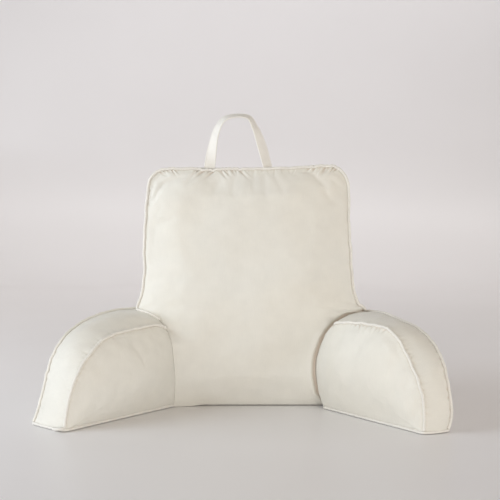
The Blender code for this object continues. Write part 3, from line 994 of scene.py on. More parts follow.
# piping: cloth rolled over a cord and caught in the seam
piping = {
    "radius": 0.0030,
    "seat": 0.92,  # how far the cord's middle stands off the seam, in radii
    "clearance": 0.8,  # how far it keeps from all other cloth, in radii
    "baseClearance": 0.85,
    "step": 0.0011,
    "sides": 16,
    "crimpDepth": 0.00022,
    "crimpLength": 0.0085,
    "wander": 0.00035,
    "rimStart": 0.94,  # the rim's piping starts where the seam is this much of its full height
    "rimEnd": 1.8,  # and stops this far above the floor, in radii
    "baseLift": 0.0034,
    "basePoints": 400,
    "frontPoints": 1400,
    "frontFrom": 0.216,  # the height from which the front piping follows its seam
    "creases": {"Left": (0.244, 0.196), "Right": (0.262, 0.222)},  # where it runs along an arm
    "creasePoints": 16,
    "creaseHeight": 0.205,  # where the search for a crease starts
    "creaseRounds": 8,
    "shownHeights": (0.150, 0.250, 0.001),
    "shownShift": (0.0, -1.0, 0.4),  # in radii, from the place that is seen to the cord's middle
    "sightGap": 0.002,
    "hidden": 0.005,  # how far an end runs on inside the back
    "dip": 0.55,  # how far the cord follows the depth of a tuck beside it
    "dipReach": 0.008,
    "pushRounds": 5,
    "pushReach": 0.02,  # cloth further away than this doesn't push the cord
    "seamEasing": 5,
    "baseEasing": 8,
    "frontEasing": 20,
    "rimSeed": 3.0,
    "baseSeed": 5.0,
    "frontSeed": 8.0,
    "rearSeed": 9.0,
}


def node(tree, kind, **settings):
    made = tree.nodes.new(kind)
    for key, value in settings.items():
        setattr(made, key, value)
    return made


def feed(tree, made, **values):
    # plain values are set on a node's sockets, and sockets are linked to them
    for key, value in values.items():
        socket = made.inputs[int(key[1:])] if key[0] == "i" and key[1:].isdigit() else made.inputs[key]
        if isinstance(value, bpy.types.NodeSocket):
            tree.links.new(value, socket)
        else:
            socket.default_value = value
    return made


def maths(tree, operation, *values):
    made = node(tree, "ShaderNodeMath", operation=operation)
    return feed(tree, made, **{f"i{index}": value for index, value in enumerate(values)}).outputs[0]


def scaled(tree, vector, scale):
    made = node(tree, "ShaderNodeVectorMath", operation="SCALE")
    return feed(tree, made, i0=vector, Scale=scale).outputs[0]


def treeWith(name, inputs):
    tree = bpy.data.node_groups.new(name, "GeometryNodeTree")
    tree.interface.new_socket("Geometry", in_out="INPUT", socket_type="NodeSocketGeometry")
    for label, kind, value in inputs:
        socket = tree.interface.new_socket(label, in_out="INPUT", socket_type="NodeSocket" + kind)
        if value is not None:
            socket.default_value = value
    tree.interface.new_socket("Geometry", in_out="OUTPUT", socket_type="NodeSocketGeometry")
    return tree, tree.nodes.new("NodeGroupInput").outputs


def endTree(tree, geometry, material):
    real = feed(tree, node(tree, "GeometryNodeRealizeInstances"), Geometry=geometry)
    dressed = feed(tree, node(tree, "GeometryNodeSetMaterial"), Geometry=real.outputs[0], Material=material)
    feed(tree, node(tree, "NodeGroupOutput"), Geometry=dressed.outputs[0])


def makePipingTree():
    tree, given = treeWith("pipedSeam", [
        ("Radius", "Float", piping["radius"]),
        ("Step", "Float", piping["step"]),
        ("Sides", "Int", piping["sides"]),
        ("Crimp Depth", "Float", piping["crimpDepth"]),
        ("Crimp Length", "Float", piping["crimpLength"]),
        ("Wander", "Float", piping["wander"]),
        ("Seed", "Float", 0.0),
        ("Material", "Material", None),
    ])
    place = node(tree, "GeometryNodeInputPosition").outputs[0]

    def kept(label, curve, measure):
        # a curve that remembers how far along it each of its points lies
        made = node(tree, "GeometryNodeCaptureAttribute")
        made.capture_items.new("FLOAT", label)
        along = node(tree, "GeometryNodeSplineParameter").outputs[measure]
        return feed(tree, made, Geometry=curve.outputs[0], **{label: along}).outputs

    def unevenness(scale):
        made = node(tree, "ShaderNodeTexNoise", noise_dimensions="4D")
        return feed(tree, made, Vector=place, W=given["Seed"], Scale=scale, Detail=1.0).outputs[0]

    path = feed(tree, node(tree, "GeometryNodeMeshToCurve"), Mesh=given["Geometry"])
    path = feed(tree, node(tree, "GeometryNodeResampleCurve", mode="LENGTH"), Curve=path.outputs[0],
                Length=given["Step"])
    along = kept("along", path, "Length")
    circle = feed(tree, node(tree, "GeometryNodeCurvePrimitiveCircle"), Resolution=given["Sides"],
                  Radius=given["Radius"])
    around = kept("around", circle, "Factor")
    tube = feed(tree, node(tree, "GeometryNodeCurveToMesh"), Curve=along[0],
                **{"Profile Curve": around[0], "Fill Caps": True})
    turns = maths(tree, "DIVIDE", along["along"], given["Crimp Length"])
    turns = maths(tree, "ADD", turns, around["around"])
    wave = maths(tree, "SINE", maths(tree, "MULTIPLY", turns, 2 * pi))
    crimp = maths(tree, "MULTIPLY", maths(tree, "MULTIPLY", wave, unevenness(140.0)), given["Crimp Depth"])
    drift = maths(tree, "MULTIPLY", maths(tree, "SUBTRACT", unevenness(38.0), 0.5), given["Wander"])
    offset = scaled(tree, node(tree, "GeometryNodeInputNormal").outputs[0], maths(tree, "ADD", crimp, drift))
    moved = feed(tree, node(tree, "GeometryNodeSetPosition"), Geometry=tube.outputs[0], Offset=offset)
    shape = moved.outputs[0]
    for label, socket in (("along", along["along"]), ("around", around["around"])):
        store = feed(tree, node(tree, "GeometryNodeStoreNamedAttribute"), Geometry=shape, Name=label,
                     Value=socket)
        shape = store.outputs[0]
    smooth = feed(tree, node(tree, "GeometryNodeSetShadeSmooth"), Geometry=shape)
    endTree(tree, smooth.outputs[0], given["Material"])
    return tree


def socketOf(tree, label):
    return next(item.identifier for item in tree.interface.items_tree
                if item.name == label and item.in_out == "INPUT")


def grown(name, tree, mesh, values):
    # a mesh path, run through a tree and made a plain mesh
    source = linked(name + "Path", mesh)
    maker = source.modifiers.new("maker", "NODES")
    maker.node_group = tree
    for label, value in values.items():
        maker[socketOf(tree, label)] = value
    result = applied(source, name)
    bpy.data.objects.remove(source)
    return linked(name, result)


def pathMesh(name, *lines):
    mesh = bpy.data.meshes.new(name)
    points = []
    edges = []
    for line in lines:
        start = len(points)
        points.extend(np.asarray(line).tolist())
        edges.extend((index, index + 1) for index in range(start, len(points) - 1))
    mesh.from_pydata(points, edges, [])
    return mesh


def eased(line, rounds):
    line = np.array(line)
    for _ in range(rounds):
        line[1:-1] = 0.5 * line[1:-1] + 0.25 * (line[:-2] + line[2:])
    return line


def seamLine(seam, outward, facing):
    # the cord's middle along a seam
    line = seam + unit(outward + facing) * piping["radius"] * piping["seat"]
    line[:, 2] = np.maximum(line[:, 2], piping["baseLift"])
    return line


def scalloped(line, form, side):
    # a cord dips wherever the cloth beside its seam is tucked
    outward = form[side + "Outward"]
    pull = form[side + "Pull"]
    tree = treeOf(form[side + "Seam"])
    line = np.array(line)
    for index, point in enumerate(line):
        _, nearest, away = tree.find(point)
        if away < piping["dipReach"]:
            line[index] -= outward[nearest] * pull[nearest] * piping["dip"]
    return line


def outsideOf(line, surface):
    # drops the points that lie deep inside a cushion
    gaps = [signedGap(surface, point, 0.3) for point in line]
    return np.array([point for point, gap in zip(line, gaps) if gap is None or gap > -piping["hidden"]])


def keptClear(line, surfaces, distance, level=None):
    # pushes a line out of the surfaces until it is at least so far from them
    line = np.array(line)
    for _ in range(piping["pushRounds"]):
        for surface in surfaces:
            for index, point in enumerate(line):
                spot, normal, _, away = surface.find_nearest(point)
                gap = (Vector(point) - spot).dot(normal)
                if gap < distance and away < piping["pushReach"]:
                    push = np.array(normal) * (distance - gap)
                    if level is not None:
                        push[2] = 0.0
                    line[index] += push
        line = eased(line, 1)
        if level is not None:
            line[:, 2] = level
    return line


def hitFrom(surface, place, way):
    spot = surface.ray_cast(Vector(place), Vector(way))[0]
    return None if spot is None else np.array(spot)


def creaseLine(across, armSurface):
    # where the back's front panel meets the top and the inner side of an arm
    line = []
    height = piping["creaseHeight"]
    for x in across:
        for _ in range(piping["creaseRounds"]):
            front = hitFrom(wholeBack, (x, -1, height), (0, 1, 0))
            if front is None:
                break
            top = hitFrom(armSurface, (x, front[1], 1), (0, 0, -1))
            if top is None:
                break
            height = 0.5 * height + 0.5 * top[2]
        if front is not None and top is not None:
            line.append(top)
    return np.array(line)


def shownCrease(across, armSurface):
    # the lowest places on the back's front panel that are seen over the top of an arm
    eye = np.array(view["place"])
    shift = np.array(piping["shownShift"]) * piping["radius"]
    line = []
    for x in across:
        for height in np.arange(*piping["shownHeights"]):
            spot = hitFrom(wholeBack, (x, -1, height), (0, 1, 0))
            if spot is None:
                continue
            way = spot - eye
            far = np.linalg.norm(way)
            if armSurface.ray_cast(Vector(eye), Vector(way / far), far - piping["sightGap"])[0] is None:
                line.append(spot + shift)
                break
    return np.array(line)


def makePiping():
    tree = makePipingTree()
    radius = piping["radius"]
    seat = radius * piping["seat"]
    clear = radius * piping["clearance"]
    lift = piping["baseLift"]
    rounds = piping["seamEasing"]
    made = {}

    def roll(name, seed, line):
        made[name] = grown(name, tree, pathMesh(name, line), {"Seed": seed, "Material": pipingCloth})

    creases = {}
    for number, arm in enumerate(arms):
        form = armForms[arm.side]
        sides = form["sides"]
        armSurface = surfaceOf(armCushions[arm.side].data)
        for side, facing, label in (("near", -form["facing"], "Inner"), ("far", form["facing"], "Outer")):
            points = form[side + "Seam"]
            first = int(np.argmax(points[:, 2] > piping["rimStart"] * points[:, 2].max()))
            line = eased(seamLine(points, form[side + "Outward"], facing)[first:sides], rounds)
            line = keptClear(line[line[:, 2] > piping["rimEnd"] * radius], [armSurface], clear)
            line = outsideOf(scalloped(line, form, side), wholeBack)
            if arm.side == "Left" and side == "near":
                line = np.vstack([line, curledTail(line, form)])
            roll("piping" + label + arm.side, piping["rimSeed"] + number, line)
        inner = form["nearSeam"][sides - 1:] - form["facing"] * seat
        outer = form["farSeam"][sides - 1:] + form["facing"] * seat
        tip = form["rings"][form["firstBand"]:form["lastBand"] + 1, sides - 1]
        ahead = unit(form["nearOutward"][sides - 1] * (1, 1, 0))
        base = np.vstack([inner[::-1], tip + ahead * seat, outer])
        base[:, 2] = lift
        base = eased(evenly(base, piping["basePoints"]), piping["baseEasing"])
        base[:, 2] = lift
        base = keptClear(base, [armSurface], piping["baseClearance"] * radius, lift)
        roll("pipingBase" + arm.side, piping["baseSeed"] + number, outsideOf(base, wholeBack))
        across = arm.outward * np.linspace(*piping["creases"][arm.side], piping["creasePoints"])
        follow = shownCrease if arm.side == "Left" else creaseLine  # the left cord stands out of its crease
        creases[arm.side] = follow(backCorner[0] + across, armSurface)
    surfaces = [wholeBack] + [surfaceOf(armCushions[arm.side].data) for arm in arms]
    sides = backForm["sides"]
    front = seamLine(backForm["nearSeam"], backForm["nearOutward"], -backForm["facing"])[:sides]
    front = eased(front[front[:, 2] > piping["frontFrom"]], rounds)
    joined = np.vstack([creases["Left"][::-1], front, creases["Right"]])
    joined = eased(evenly(joined, piping["frontPoints"]), piping["frontEasing"])
    joined = scalloped(keptClear(joined, surfaces, clear), backForm, "near")
    roll("pipingBackFront", piping["frontSeed"], eased(joined, 2))
    rear = seamLine(backForm["farSeam"], backForm["farOutward"], backForm["facing"])[:sides]
    rear = eased(rear[rear[:, 2] > lift], rounds)
    roll("pipingBackRear", piping["rearSeed"], keptClear(rear, surfaces, clear))
    print("piping rolled:", sum(len(thing.data.polygons) for thing in made.values()), "faces")
    return made


def curledTail(line, form):
    # the loose end of a rim's piping, turned round the corner of the tip
    out = unit(form["nearOutward"][form["sides"] - 1] * (1, 1, 0))
    steps = np.array((
        (0.0040, 0.0000, 0.0000), (0.0080, 0.0010, 0.0000), (0.0108, 0.0040, -0.0005),
        (0.0120, 0.0085, -0.0010), (0.0122, 0.0135, -0.0015), (0.0112, 0.0185, -0.0020),
        (0.0095, 0.0225, -0.0020),
    ))  # ahead, across the tip and up
    turned = line[-1] + steps @ np.array((out, form["facing"], (0, 0, 1)))
    turned[:, 2] = np.maximum(turned[:, 2], piping["baseLift"])
    return turned


# the strap: one length of folded cloth, stitched down both edges, with a half turn in each leg
Strap = namedtuple("Strap", "across height turn")
strap = {
    "line": [
        Strap(-0.0858, 0.5290, -2.0),
        Strap(-0.0845, 0.5420, -6.0),
        Strap(-0.0783, 0.5808, -38.0),
        Strap(-0.0709, 0.6099, -50.0),
        Strap(-0.0600, 0.6312, -62.0),
        Strap(-0.0450, 0.6420, -66.0),
        Strap(-0.0202, 0.6457, -70.0),
        Strap(0.0000, 0.6425, -66.0),
        Strap(0.0085, 0.6340, -63.0),
        Strap(0.0135, 0.6229, -58.0),
        Strap(0.0205, 0.6085, -48.0),
        Strap(0.0322, 0.5741, -30.0),
        Strap(0.0382, 0.5517, -33.0),
        Strap(0.0445, 0.5300, -36.0),
    ],
    "behind": 0.011,
    "width": 0.024,
    "thickness": 0.0026,
    "rounding": 0.0002,  # how much thinner the plain cloth between the edges is
    "facePoints": 27,
    "edge": 0.0005,  # how much the folded edges stand up
    "edgePlace": 0.0013,
    "edgeWidth": 0.0011,
    "stitchInset": 0.0028,
    "stitchDip": 0.00045,
    "stitchDipWidth": 0.0007,
    "stitchRise": 0.1,  # how far a stitch stands out, in its own widths
    "stitched": (14, -8),  # the steps between which the edges are stitched
    "steps": 260,
    "turnScale": 0.0002,  # metres for each degree, so that one curve carries both
    "flat": (0.024, 0.300),
    "stitchPitch": 0.0034,
    "stitchLength": 0.0025,
    "stitchWidth": 0.00075,
}


def strapFrames():
    rows = [(row.across, row.height, row.turn * strap["turnScale"]) for row in strap["line"]]
    line = smoothLine(rows, strap["steps"])
    centres = np.stack([line[:, 0], np.full(len(line), strap["behind"]), line[:, 1]], 1) + backCorner
    along = unit(np.gradient(centres, axis=0))
    frames = []
    for centre, way, turn in zip(centres, along, line[:, 2] / strap["turnScale"]):
        side = unit(np.cross(way, (0.0, 1.0, 0.0)))
        wide = np.array(Matrix.Rotation(radians(turn), 3, Vector(way)) @ Vector(side))
        frames.append((centre, wide, np.cross(way, wide)))
    return frames


def strapSection():
    # half the outline, from one edge over the face to the other: across, and how thick
    half = 0.5 * strap["width"]
    thick = 0.5 * strap["thickness"]
    across = half * np.sin(np.linspace(-0.5 * pi, 0.5 * pi, strap["facePoints"]))
    fromEdge = half - np.abs(across)
    rounded = np.sqrt(np.clip(1 - (1 - np.clip(fromEdge / thick, 0, 1)) ** 2, 0, 1))
    fold = strap["edge"] * np.exp(-((fromEdge - strap["edgePlace"]) / strap["edgeWidth"]) ** 2)
    dip = strap["stitchDip"] * np.exp(-((fromEdge - strap["stitchInset"]) / strap["stitchDipWidth"]) ** 2)
    return across, (thick - strap["rounding"]) * rounded + (fold - dip) * rounded


def makeStrap():
    frames = strapFrames()
    across, rise = strapSection()
    outline = np.concatenate([np.stack([across, rise], 1), np.stack([across, -rise], 1)[-2:0:-1]])
    count = len(outline)
    around = np.concatenate([[0.0], np.cumsum(stepsOf(np.vstack([outline, outline[:1]])))])
    run = np.concatenate([[0.0], np.cumsum(stepsOf(np.array([centre for centre, _, _ in frames])))])
    points = np.array([centre + outline[:, :1] * wide + outline[:, 1:] * thick
                       for centre, wide, thick in frames])
    index = np.arange(points.shape[0] * count).reshape(-1, count)
    after = np.roll(index, -1, 1)
    quads = np.stack([index[:-1], after[:-1], after[1:], index[1:]], -1).reshape(-1, 4).tolist()
    quads += [index[0].tolist(), index[-1][::-1].tolist()]
    mesh = bpy.data.meshes.new("strap")
    mesh.from_pydata(points.reshape(-1, 3).tolist(), [], quads)
    pattern = mesh.uv_layers.new(name="weave")
    here = np.stack(np.broadcast_arrays(run[:, None], around[None, :-1]), -1)
    there = np.stack(np.broadcast_arrays(run[:, None], around[None, 1:]), -1)
    corners = np.stack([here[:-1], there[:-1], there[1:], here[1:]], 2).reshape(-1, 2)
    ends = np.zeros((2 * count, 2))
    pattern.data.foreach_set("uv", np.concatenate([corners, ends]).astype(np.float32).ravel())
    mesh.update()
    if signedVolume(mesh) < 0:
        mesh.flip_normals()
    mesh.shade_smooth()
    mesh.set_sharp_from_angle(angle=radians(60))
    mesh.materials.append(strapCloth)
    print("strap swept:", round(run[-1], 3), "m long")
    return linked("strap", mesh), frames


def makeStitchTree():
    tree, given = treeWith("stitchRow", [
        ("Pitch", "Float", strap["stitchPitch"]),
        ("Length", "Float", strap["stitchLength"]),
        ("Width", "Float", strap["stitchWidth"]),
        ("Seed", "Int", 4),
        ("Material", "Material", None),
    ])
    path = feed(tree, node(tree, "GeometryNodeMeshToCurve"), Mesh=given["Geometry"])
    spots = feed(tree, node(tree, "GeometryNodeCurveToPoints", mode="LENGTH"), Curve=path.outputs[0],
                 Length=given["Pitch"])
    dot = feed(tree, node(tree, "GeometryNodeMeshIcoSphere"), Radius=0.5, Subdivisions=2)
    wide = given["Width"]
    slim = feed(tree, node(tree, "ShaderNodeCombineXYZ"), X=wide, Y=wide, Z=given["Length"])
    stitch = feed(tree, node(tree, "GeometryNodeTransform"), Geometry=dot.outputs[0], Scale=slim.outputs[0])
    turn = node(tree, "FunctionNodeAlignRotationToVector", axis="Z")
    feed(tree, turn, Vector=spots.outputs["Tangent"])
    uneven = feed(tree, node(tree, "FunctionNodeRandomValue", data_type="FLOAT"), i2=0.88, i3=1.1,
                  Seed=given["Seed"])
    rows = feed(tree, node(tree, "GeometryNodeInstanceOnPoints"), Points=spots.outputs[0],
                Instance=stitch.outputs[0], Rotation=turn.outputs[0], Scale=uneven.outputs[1])
    smooth = feed(tree, node(tree, "GeometryNodeSetShadeSmooth"), Geometry=rows.outputs[0])
    endTree(tree, smooth.outputs[0], given["Material"])
    return tree


def makeStitches(frames):
    across, rise = strapSection()
    place = 0.5 * strap["width"] - strap["stitchInset"]
    height = np.interp(place, across, rise) + strap["stitchRise"] * strap["stitchWidth"]
    stitched = frames[slice(*strap["stitched"])]
    lines = []
    for side in (-1, 1):
        for face in (-1, 1):
            lines.append([centre + side * place * wide + face * height * thick
                          for centre, wide, thick in stitched])
    path = pathMesh("strapStitches", *lines)
    return grown("strapStitches", makeStitchTree(), path, {"Material": threadYarn})


# cloth: a close plain weave with a soft sheen; painted shade makes it darker and warmer down in the creases,
# beside seams and in the right join
clothLook = {
    "colour": (0.790, 0.774, 0.708),
    "warmColour": (0.780, 0.752, 0.672),
    # painted shade: the brown that creases, seams and the right join are painted towards
    "creaseShadeColour": (0.640, 0.500, 0.400),
    # painted highlight: the piping is a little lighter than the cover's cloth, for the light that its round
    # cord catches
    "pipingHighlightColour": (0.822, 0.798, 0.735),
    "strapColour": (0.850, 0.825, 0.765),
    "threadColour": (0.850, 0.835, 0.790),
    "roughness": 0.58,
    "sheen": 0.22,
    "sheenRoughness": 0.42,
    "specular": 0.28,
    "threadPitch": 0.00075,
}


def startMaterial(name, colour, roughness):
    material = bpy.data.materials.new(name)
    material.use_nodes = True
    tree = material.node_tree
    shader = tree.nodes["Principled BSDF"]
    shader.inputs["Base Color"].default_value = (*colour, 1.0)
    shader.inputs["Roughness"].default_value = roughness
    shader.inputs["Metallic"].default_value = 0.0
    shader.inputs["Specular IOR Level"].default_value = clothLook["specular"]
    shader.inputs["Sheen Weight"].default_value = clothLook["sheen"]
    shader.inputs["Sheen Roughness"].default_value = clothLook["sheenRoughness"]
    material.diffuse_color = (*colour, 1.0)
    return material, tree, shader


def mixColour(tree, factor, first, second):
    mixed = node(tree, "ShaderNodeMix", data_type="RGBA")
    feed(tree, mixed, i0=factor, i6=first, i7=second)
    return mixed.outputs[2]


def ranged(tree, value, low, high, toLow, toHigh):
    made = node(tree, "ShaderNodeMapRange")
    return feed(tree, made, i0=value, i1=low, i2=high, i3=toLow, i4=toHigh).outputs[0]


def noiseOf(tree, vector, scale, detail):
    made = feed(tree, node(tree, "ShaderNodeTexNoise"), Vector=vector, Scale=scale, Detail=detail)
    return made.outputs["Fac"]


def spread(tree, noise, low, high):
    # most of a noise lies in this middle part
    return ranged(tree, noise, 0.3, 0.7, low, high)


def objectPlace(tree):
    return node(tree, "ShaderNodeTexCoord").outputs["Object"]


def flatPattern(tree):
    return node(tree, "ShaderNodeUVMap", uv_map="weave").outputs[0]


def attributeOf(tree, name):
    return node(tree, "ShaderNodeAttribute", attribute_name=name).outputs["Fac"]


def threads(tree, vector, direction, pitch, unevenness):
    # rows of threads as a height, a little uneven
    wave = node(tree, "ShaderNodeTexWave", wave_type="BANDS", bands_direction=direction)
    feed(tree, wave, Vector=vector, Scale=2 * pi / (20 * pitch), Distortion=unevenness, Detail=1.0)
    wave.inputs["Detail Scale"].default_value = 0.35
    return wave.outputs["Fac"]


def weaveHeight(tree, vector, pitch):
    warp = threads(tree, vector, "X", pitch, 1.6)
    weft = threads(tree, vector, "Y", pitch * 0.9, 2.2)
    return maths(tree, "ADD", warp, weft)


def bumpOf(tree, height, strength, distance, under=None):
    made = feed(tree, node(tree, "ShaderNodeBump"), Height=height, Strength=strength, Distance=distance)
    if under is not None:
        tree.links.new(under, made.inputs["Normal"])
    return made.outputs[0]


coverLook = {
    "broad": (5.0, 2.0),  # each noise by its scale and detail
    "cloudy": (34.0, 4.0),
    "streaks": (1.0, 3.0),
    "soft": (55.0, 3.0),
    "nap": (420.0, 3.0),
    "slub": (900.0, 40.0, 1.0),
    "cloudyLevel": (0.975, 1.015),
    "streaksLevel": (0.985, 1.012),
    "weaveLevel": (0.94, 1.03),
    "warmed": (0.35, 0.65, 0.0, 1.0),  # from the broad noise to the share of the warm colour
    "creaseShadeShare": (0.12, 1.0, 0.0, 0.55),  # from the painted shade amount to the share of the brown painted crease shade colour
    "roughness": (0.53, 0.64),
    "softBump": (0.22, 0.0016),
    "napBump": (0.18, 0.0003),
    "weaveBump": (0.35, 0.00012),
}


def makeCoverCloth():
    material, tree, shader = startMaterial("coverCloth", clothLook["colour"], clothLook["roughness"])
    look = coverLook
    place = objectPlace(tree)
    pattern = flatPattern(tree)
    weave = weaveHeight(tree, pattern, clothLook["threadPitch"])
    broad = noiseOf(tree, place, *look["broad"])
    cloudy = noiseOf(tree, place, *look["cloudy"])
    tone = mixColour(tree, ranged(tree, broad, *look["warmed"]),
                     (*clothLook["colour"], 1.0), (*clothLook["warmColour"], 1.0))
    slub = feed(tree, node(tree, "ShaderNodeMapping"), Vector=pattern, Scale=look["slub"])
    streaks = spread(tree, noiseOf(tree, slub.outputs[0], *look["streaks"]), *look["streaksLevel"])
    level = maths(tree, "MULTIPLY", spread(tree, cloudy, *look["cloudyLevel"]), streaks)
    level = maths(tree, "MULTIPLY", level, ranged(tree, weave, 0.0, 2.0, *look["weaveLevel"]))
    # painted shade: the cloth's colour is mixed towards the brown crease shade colour by the painted shade
    # stored on its points
    depth = ranged(tree, attributeOf(tree, "paintedShade"), *look["creaseShadeShare"])
    tone = mixColour(tree, depth, scaled(tree, tone, level), (*clothLook["creaseShadeColour"], 1.0))
    tree.links.new(tone, shader.inputs["Base Color"])
    tree.links.new(spread(tree, cloudy, *look["roughness"]), shader.inputs["Roughness"])
    soft = bumpOf(tree, noiseOf(tree, place, *look["soft"]), *look["softBump"])
    nap = bumpOf(tree, noiseOf(tree, place, *look["nap"]), *look["napBump"], soft)
    tree.links.new(bumpOf(tree, weave, *look["weaveBump"], nap), shader.inputs["Normal"])
    return material


def slantedPattern(tree):
    # cloth cut on the slant and rolled over a cord
    wide = maths(tree, "MULTIPLY", attributeOf(tree, "around"), 2 * pi * piping["radius"])
    flat = feed(tree, node(tree, "ShaderNodeCombineXYZ"), X=attributeOf(tree, "along"), Y=wide)
    turned = node(tree, "ShaderNodeMapping")
    return feed(tree, turned, Vector=flat.outputs[0], Rotation=(0, 0, radians(45))).outputs[0]


Trim = namedtuple("Trim", "name colour pattern clouds darkest softness softDepth")
trims = [
    Trim("pipingCloth", clothLook["pipingHighlightColour"], slantedPattern, 60.0, 0.94, 0.25, 0.0010),
    Trim("strapCloth", clothLook["strapColour"], flatPattern, 45.0, 0.93, 0.30, 0.0012),
]


def makeTrimCloth(trim):
    material, tree, shader = startMaterial(trim.name, trim.colour, clothLook["roughness"])
    weave = weaveHeight(tree, trim.pattern(tree), clothLook["threadPitch"])
    cloudy = noiseOf(tree, objectPlace(tree), trim.clouds, 3.0)
    level = maths(tree, "MULTIPLY", spread(tree, cloudy, 0.95, 1.02),
                  ranged(tree, weave, 0.0, 2.0, trim.darkest, 1.03))
    tree.links.new(scaled(tree, trim.colour, level), shader.inputs["Base Color"])
    soft = bumpOf(tree, cloudy, trim.softness, trim.softDepth)
    tree.links.new(bumpOf(tree, weave, 0.4, 0.00014, soft), shader.inputs["Normal"])
    return material


def makeThreadYarn():
    material, tree, shader = startMaterial("threadYarn", clothLook["threadColour"], 0.5)
    twist = noiseOf(tree, objectPlace(tree), 1800.0, 2.0)
    tone = scaled(tree, clothLook["threadColour"], spread(tree, twist, 0.92, 1.03))
    tree.links.new(tone, shader.inputs["Base Color"])
    tree.links.new(bumpOf(tree, twist, 0.4, 0.0001), shader.inputs["Normal"])
    return material


coverCloth = makeCoverCloth()
pipingCloth, strapCloth = (makeTrimCloth(trim) for trim in trims)
threadYarn = makeThreadYarn()
for cushion in (backCushion, armCushions["Left"], armCushions["Right"]):
    cushion.data.materials.clear()
    cushion.data.materials.append(coverCloth)
print("cloth made")

pipes = makePiping()
strapPiece, strapPath = makeStrap()
stitches = makeStitches(strapPath)
print("strap stitched:", len(stitches.data.polygons), "faces")


# the pale floor that turns up into a backdrop, painted darker up the wall, and the light of a big window on
# the left
studio = {
    "floorColour": (0.850, 0.836, 0.838),
    "wallShadeColour": (0.655, 0.645, 0.652),  # painted shade: what the paper darkens to up the wall
    "wallFrom": 0.20,
    "wallTo": 1.60,
    "floorRoughness": 0.34,
    "floorSpecular": 0.35,
    "front": -3.6,
    "bend": 3.20,  # far enough back not to hide the cushion from behind
    "bendRadius": 0.80,
    "bendSteps": 24,
    "halfWidth": 4.0,
    "top": 3.4,
    "drop": 0.0004,
    "world": (0.88, 0.79, 0.70),
    "worldStrength": 0.42,
}
Lamp = namedtuple("Lamp", "name place aim width height power colour")
lamps = [
    Lamp("windowLight", (-2.8, -0.45, 0.60), (0.0, 0.15, 0.25), 1.4, 1.1, 18.5, (0.78, 0.88, 1.0)),
    Lamp("highWindowLight", (-2.4, -0.9, 1.6), (0.0, 0.1, 0.25), 1.6, 1.2, 30.0, (0.82, 0.91, 1.0)),
    Lamp("frontLight", (0.4, -3.2, 0.22), (0.0, 0.0, 0.08), 2.8, 0.4, 41.0, (1.0, 0.98, 0.965)),
    Lamp("rightLight", (2.9, -0.9, 0.7), (0.0, 0.0, 0.20), 1.6, 1.2, 12.0, (1.0, 0.97, 0.94)),
    Lamp("wallLight", (0.1, 3.0, 2.3), (0.0, 3.9, 0.4), 4.0, 0.8, 22.0, (0.99, 0.98, 1.0)),
    Lamp("leftWallLight", (-2.4, 0.3, 0.7), (-1.1, 2.0, 0.05), 0.9, 0.7, 14.0, (0.96, 0.97, 1.0)),
    Lamp("rightWallLight", (2.2, 0.4, 0.6), (0.9, 1.4, 0.3), 0.9, 0.7, 6.0, (1.0, 0.98, 1.0)),
]


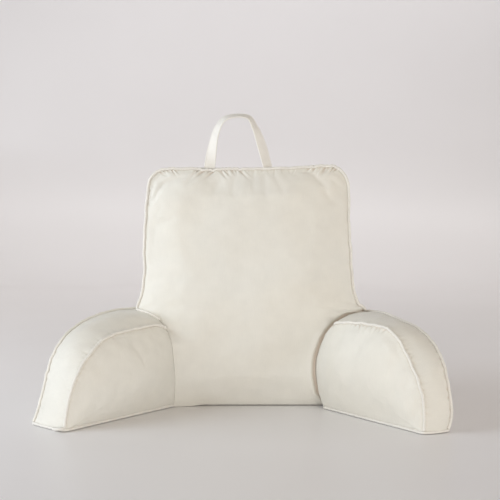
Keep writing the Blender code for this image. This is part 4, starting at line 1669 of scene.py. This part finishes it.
def makeStudio():
    profile = [(studio["front"], 0.0), (studio["bend"], 0.0)]
    radius = studio["bendRadius"]
    for step in range(1, studio["bendSteps"] + 1):
        angle = 0.5 * pi * step / studio["bendSteps"]
        profile.append((studio["bend"] + radius * sin(angle), radius * (1 - cos(angle))))
    profile.append((studio["bend"] + radius, studio["top"]))
    points = [(side * studio["halfWidth"], y, z - studio["drop"]) for y, z in profile for side in (-1, 1)]
    faces = [(2 * row, 2 * row + 1, 2 * row + 3, 2 * row + 2) for row in range(len(profile) - 1)]
    mesh = bpy.data.meshes.new("backdrop")
    mesh.from_pydata(points, [], faces)
    mesh.shade_smooth()
    material = bpy.data.materials.new("backdropPaper")
    material.use_nodes = True
    tree = material.node_tree
    shader = tree.nodes["Principled BSDF"]
    shader.inputs["Roughness"].default_value = studio["floorRoughness"]
    shader.inputs["Specular IOR Level"].default_value = studio["floorSpecular"]
    place = objectPlace(tree)
    level = spread(tree, noiseOf(tree, place, 1.3, 2.0), 0.985, 1.01)
    height = feed(tree, node(tree, "ShaderNodeSeparateXYZ"), Vector=place).outputs[2]
    # painted shade: the paper is painted darker with height, from the floor colour to the wall colour
    up = ranged(tree, height, studio["wallFrom"], studio["wallTo"], 0.0, 1.0)
    paper = mixColour(tree, up, (*studio["floorColour"], 1.0), (*studio["wallShadeColour"], 1.0))
    tree.links.new(scaled(tree, paper, level), shader.inputs["Base Color"])
    mesh.materials.append(material)
    linked("backdrop", mesh)
    world = bpy.data.worlds.new("room")
    world.use_nodes = True
    air = world.node_tree.nodes["Background"].inputs
    air["Color"].default_value = (*studio["world"], 1.0)
    air["Strength"].default_value = studio["worldStrength"]
    scene.world = world
    for lamp in lamps:
        data = bpy.data.lights.new(lamp.name, "AREA")
        data.shape = "RECTANGLE"
        data.size = lamp.width
        data.size_y = lamp.height
        data.energy = lamp.power
        data.color = lamp.colour
        made = linked(lamp.name, data)
        made.location = lamp.place
        made.rotation_euler = (Vector(lamp.aim) - Vector(lamp.place)).to_track_quat("-Z", "Y").to_euler()
    scene.view_settings.view_transform = "Standard"
    scene.view_settings.look = "None"


makeStudio()
print("studio lit")


# what each piece stands for in the frame
stand = [
    (backCushion, "back_cushion", "cover_cloth"),
    (armCushions["Left"], "arm_left", "cover_cloth"),
    (armCushions["Right"], "arm_right", "cover_cloth"),
    (pipes["pipingBackFront"], "piping_back_front", "piping_cloth"),
    (pipes["pipingBackRear"], "piping_back_rear", "piping_cloth"),
    (pipes["pipingInnerLeft"], "piping_inner_left", "piping_cloth"),
    (pipes["pipingOuterLeft"], "piping_outer_left", "piping_cloth"),
    (pipes["pipingBaseLeft"], "piping_base_left", "piping_cloth"),
    (pipes["pipingInnerRight"], "piping_inner_right", "piping_cloth"),
    (pipes["pipingOuterRight"], "piping_outer_right", "piping_cloth"),
    (pipes["pipingBaseRight"], "piping_base_right", "piping_cloth"),
    (strapPiece, "handle", "strap_cloth"),
]
for piece, cadNode, slotName in stand:
    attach(piece, "root")
    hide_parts(cadNode)
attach(stitches, "root")
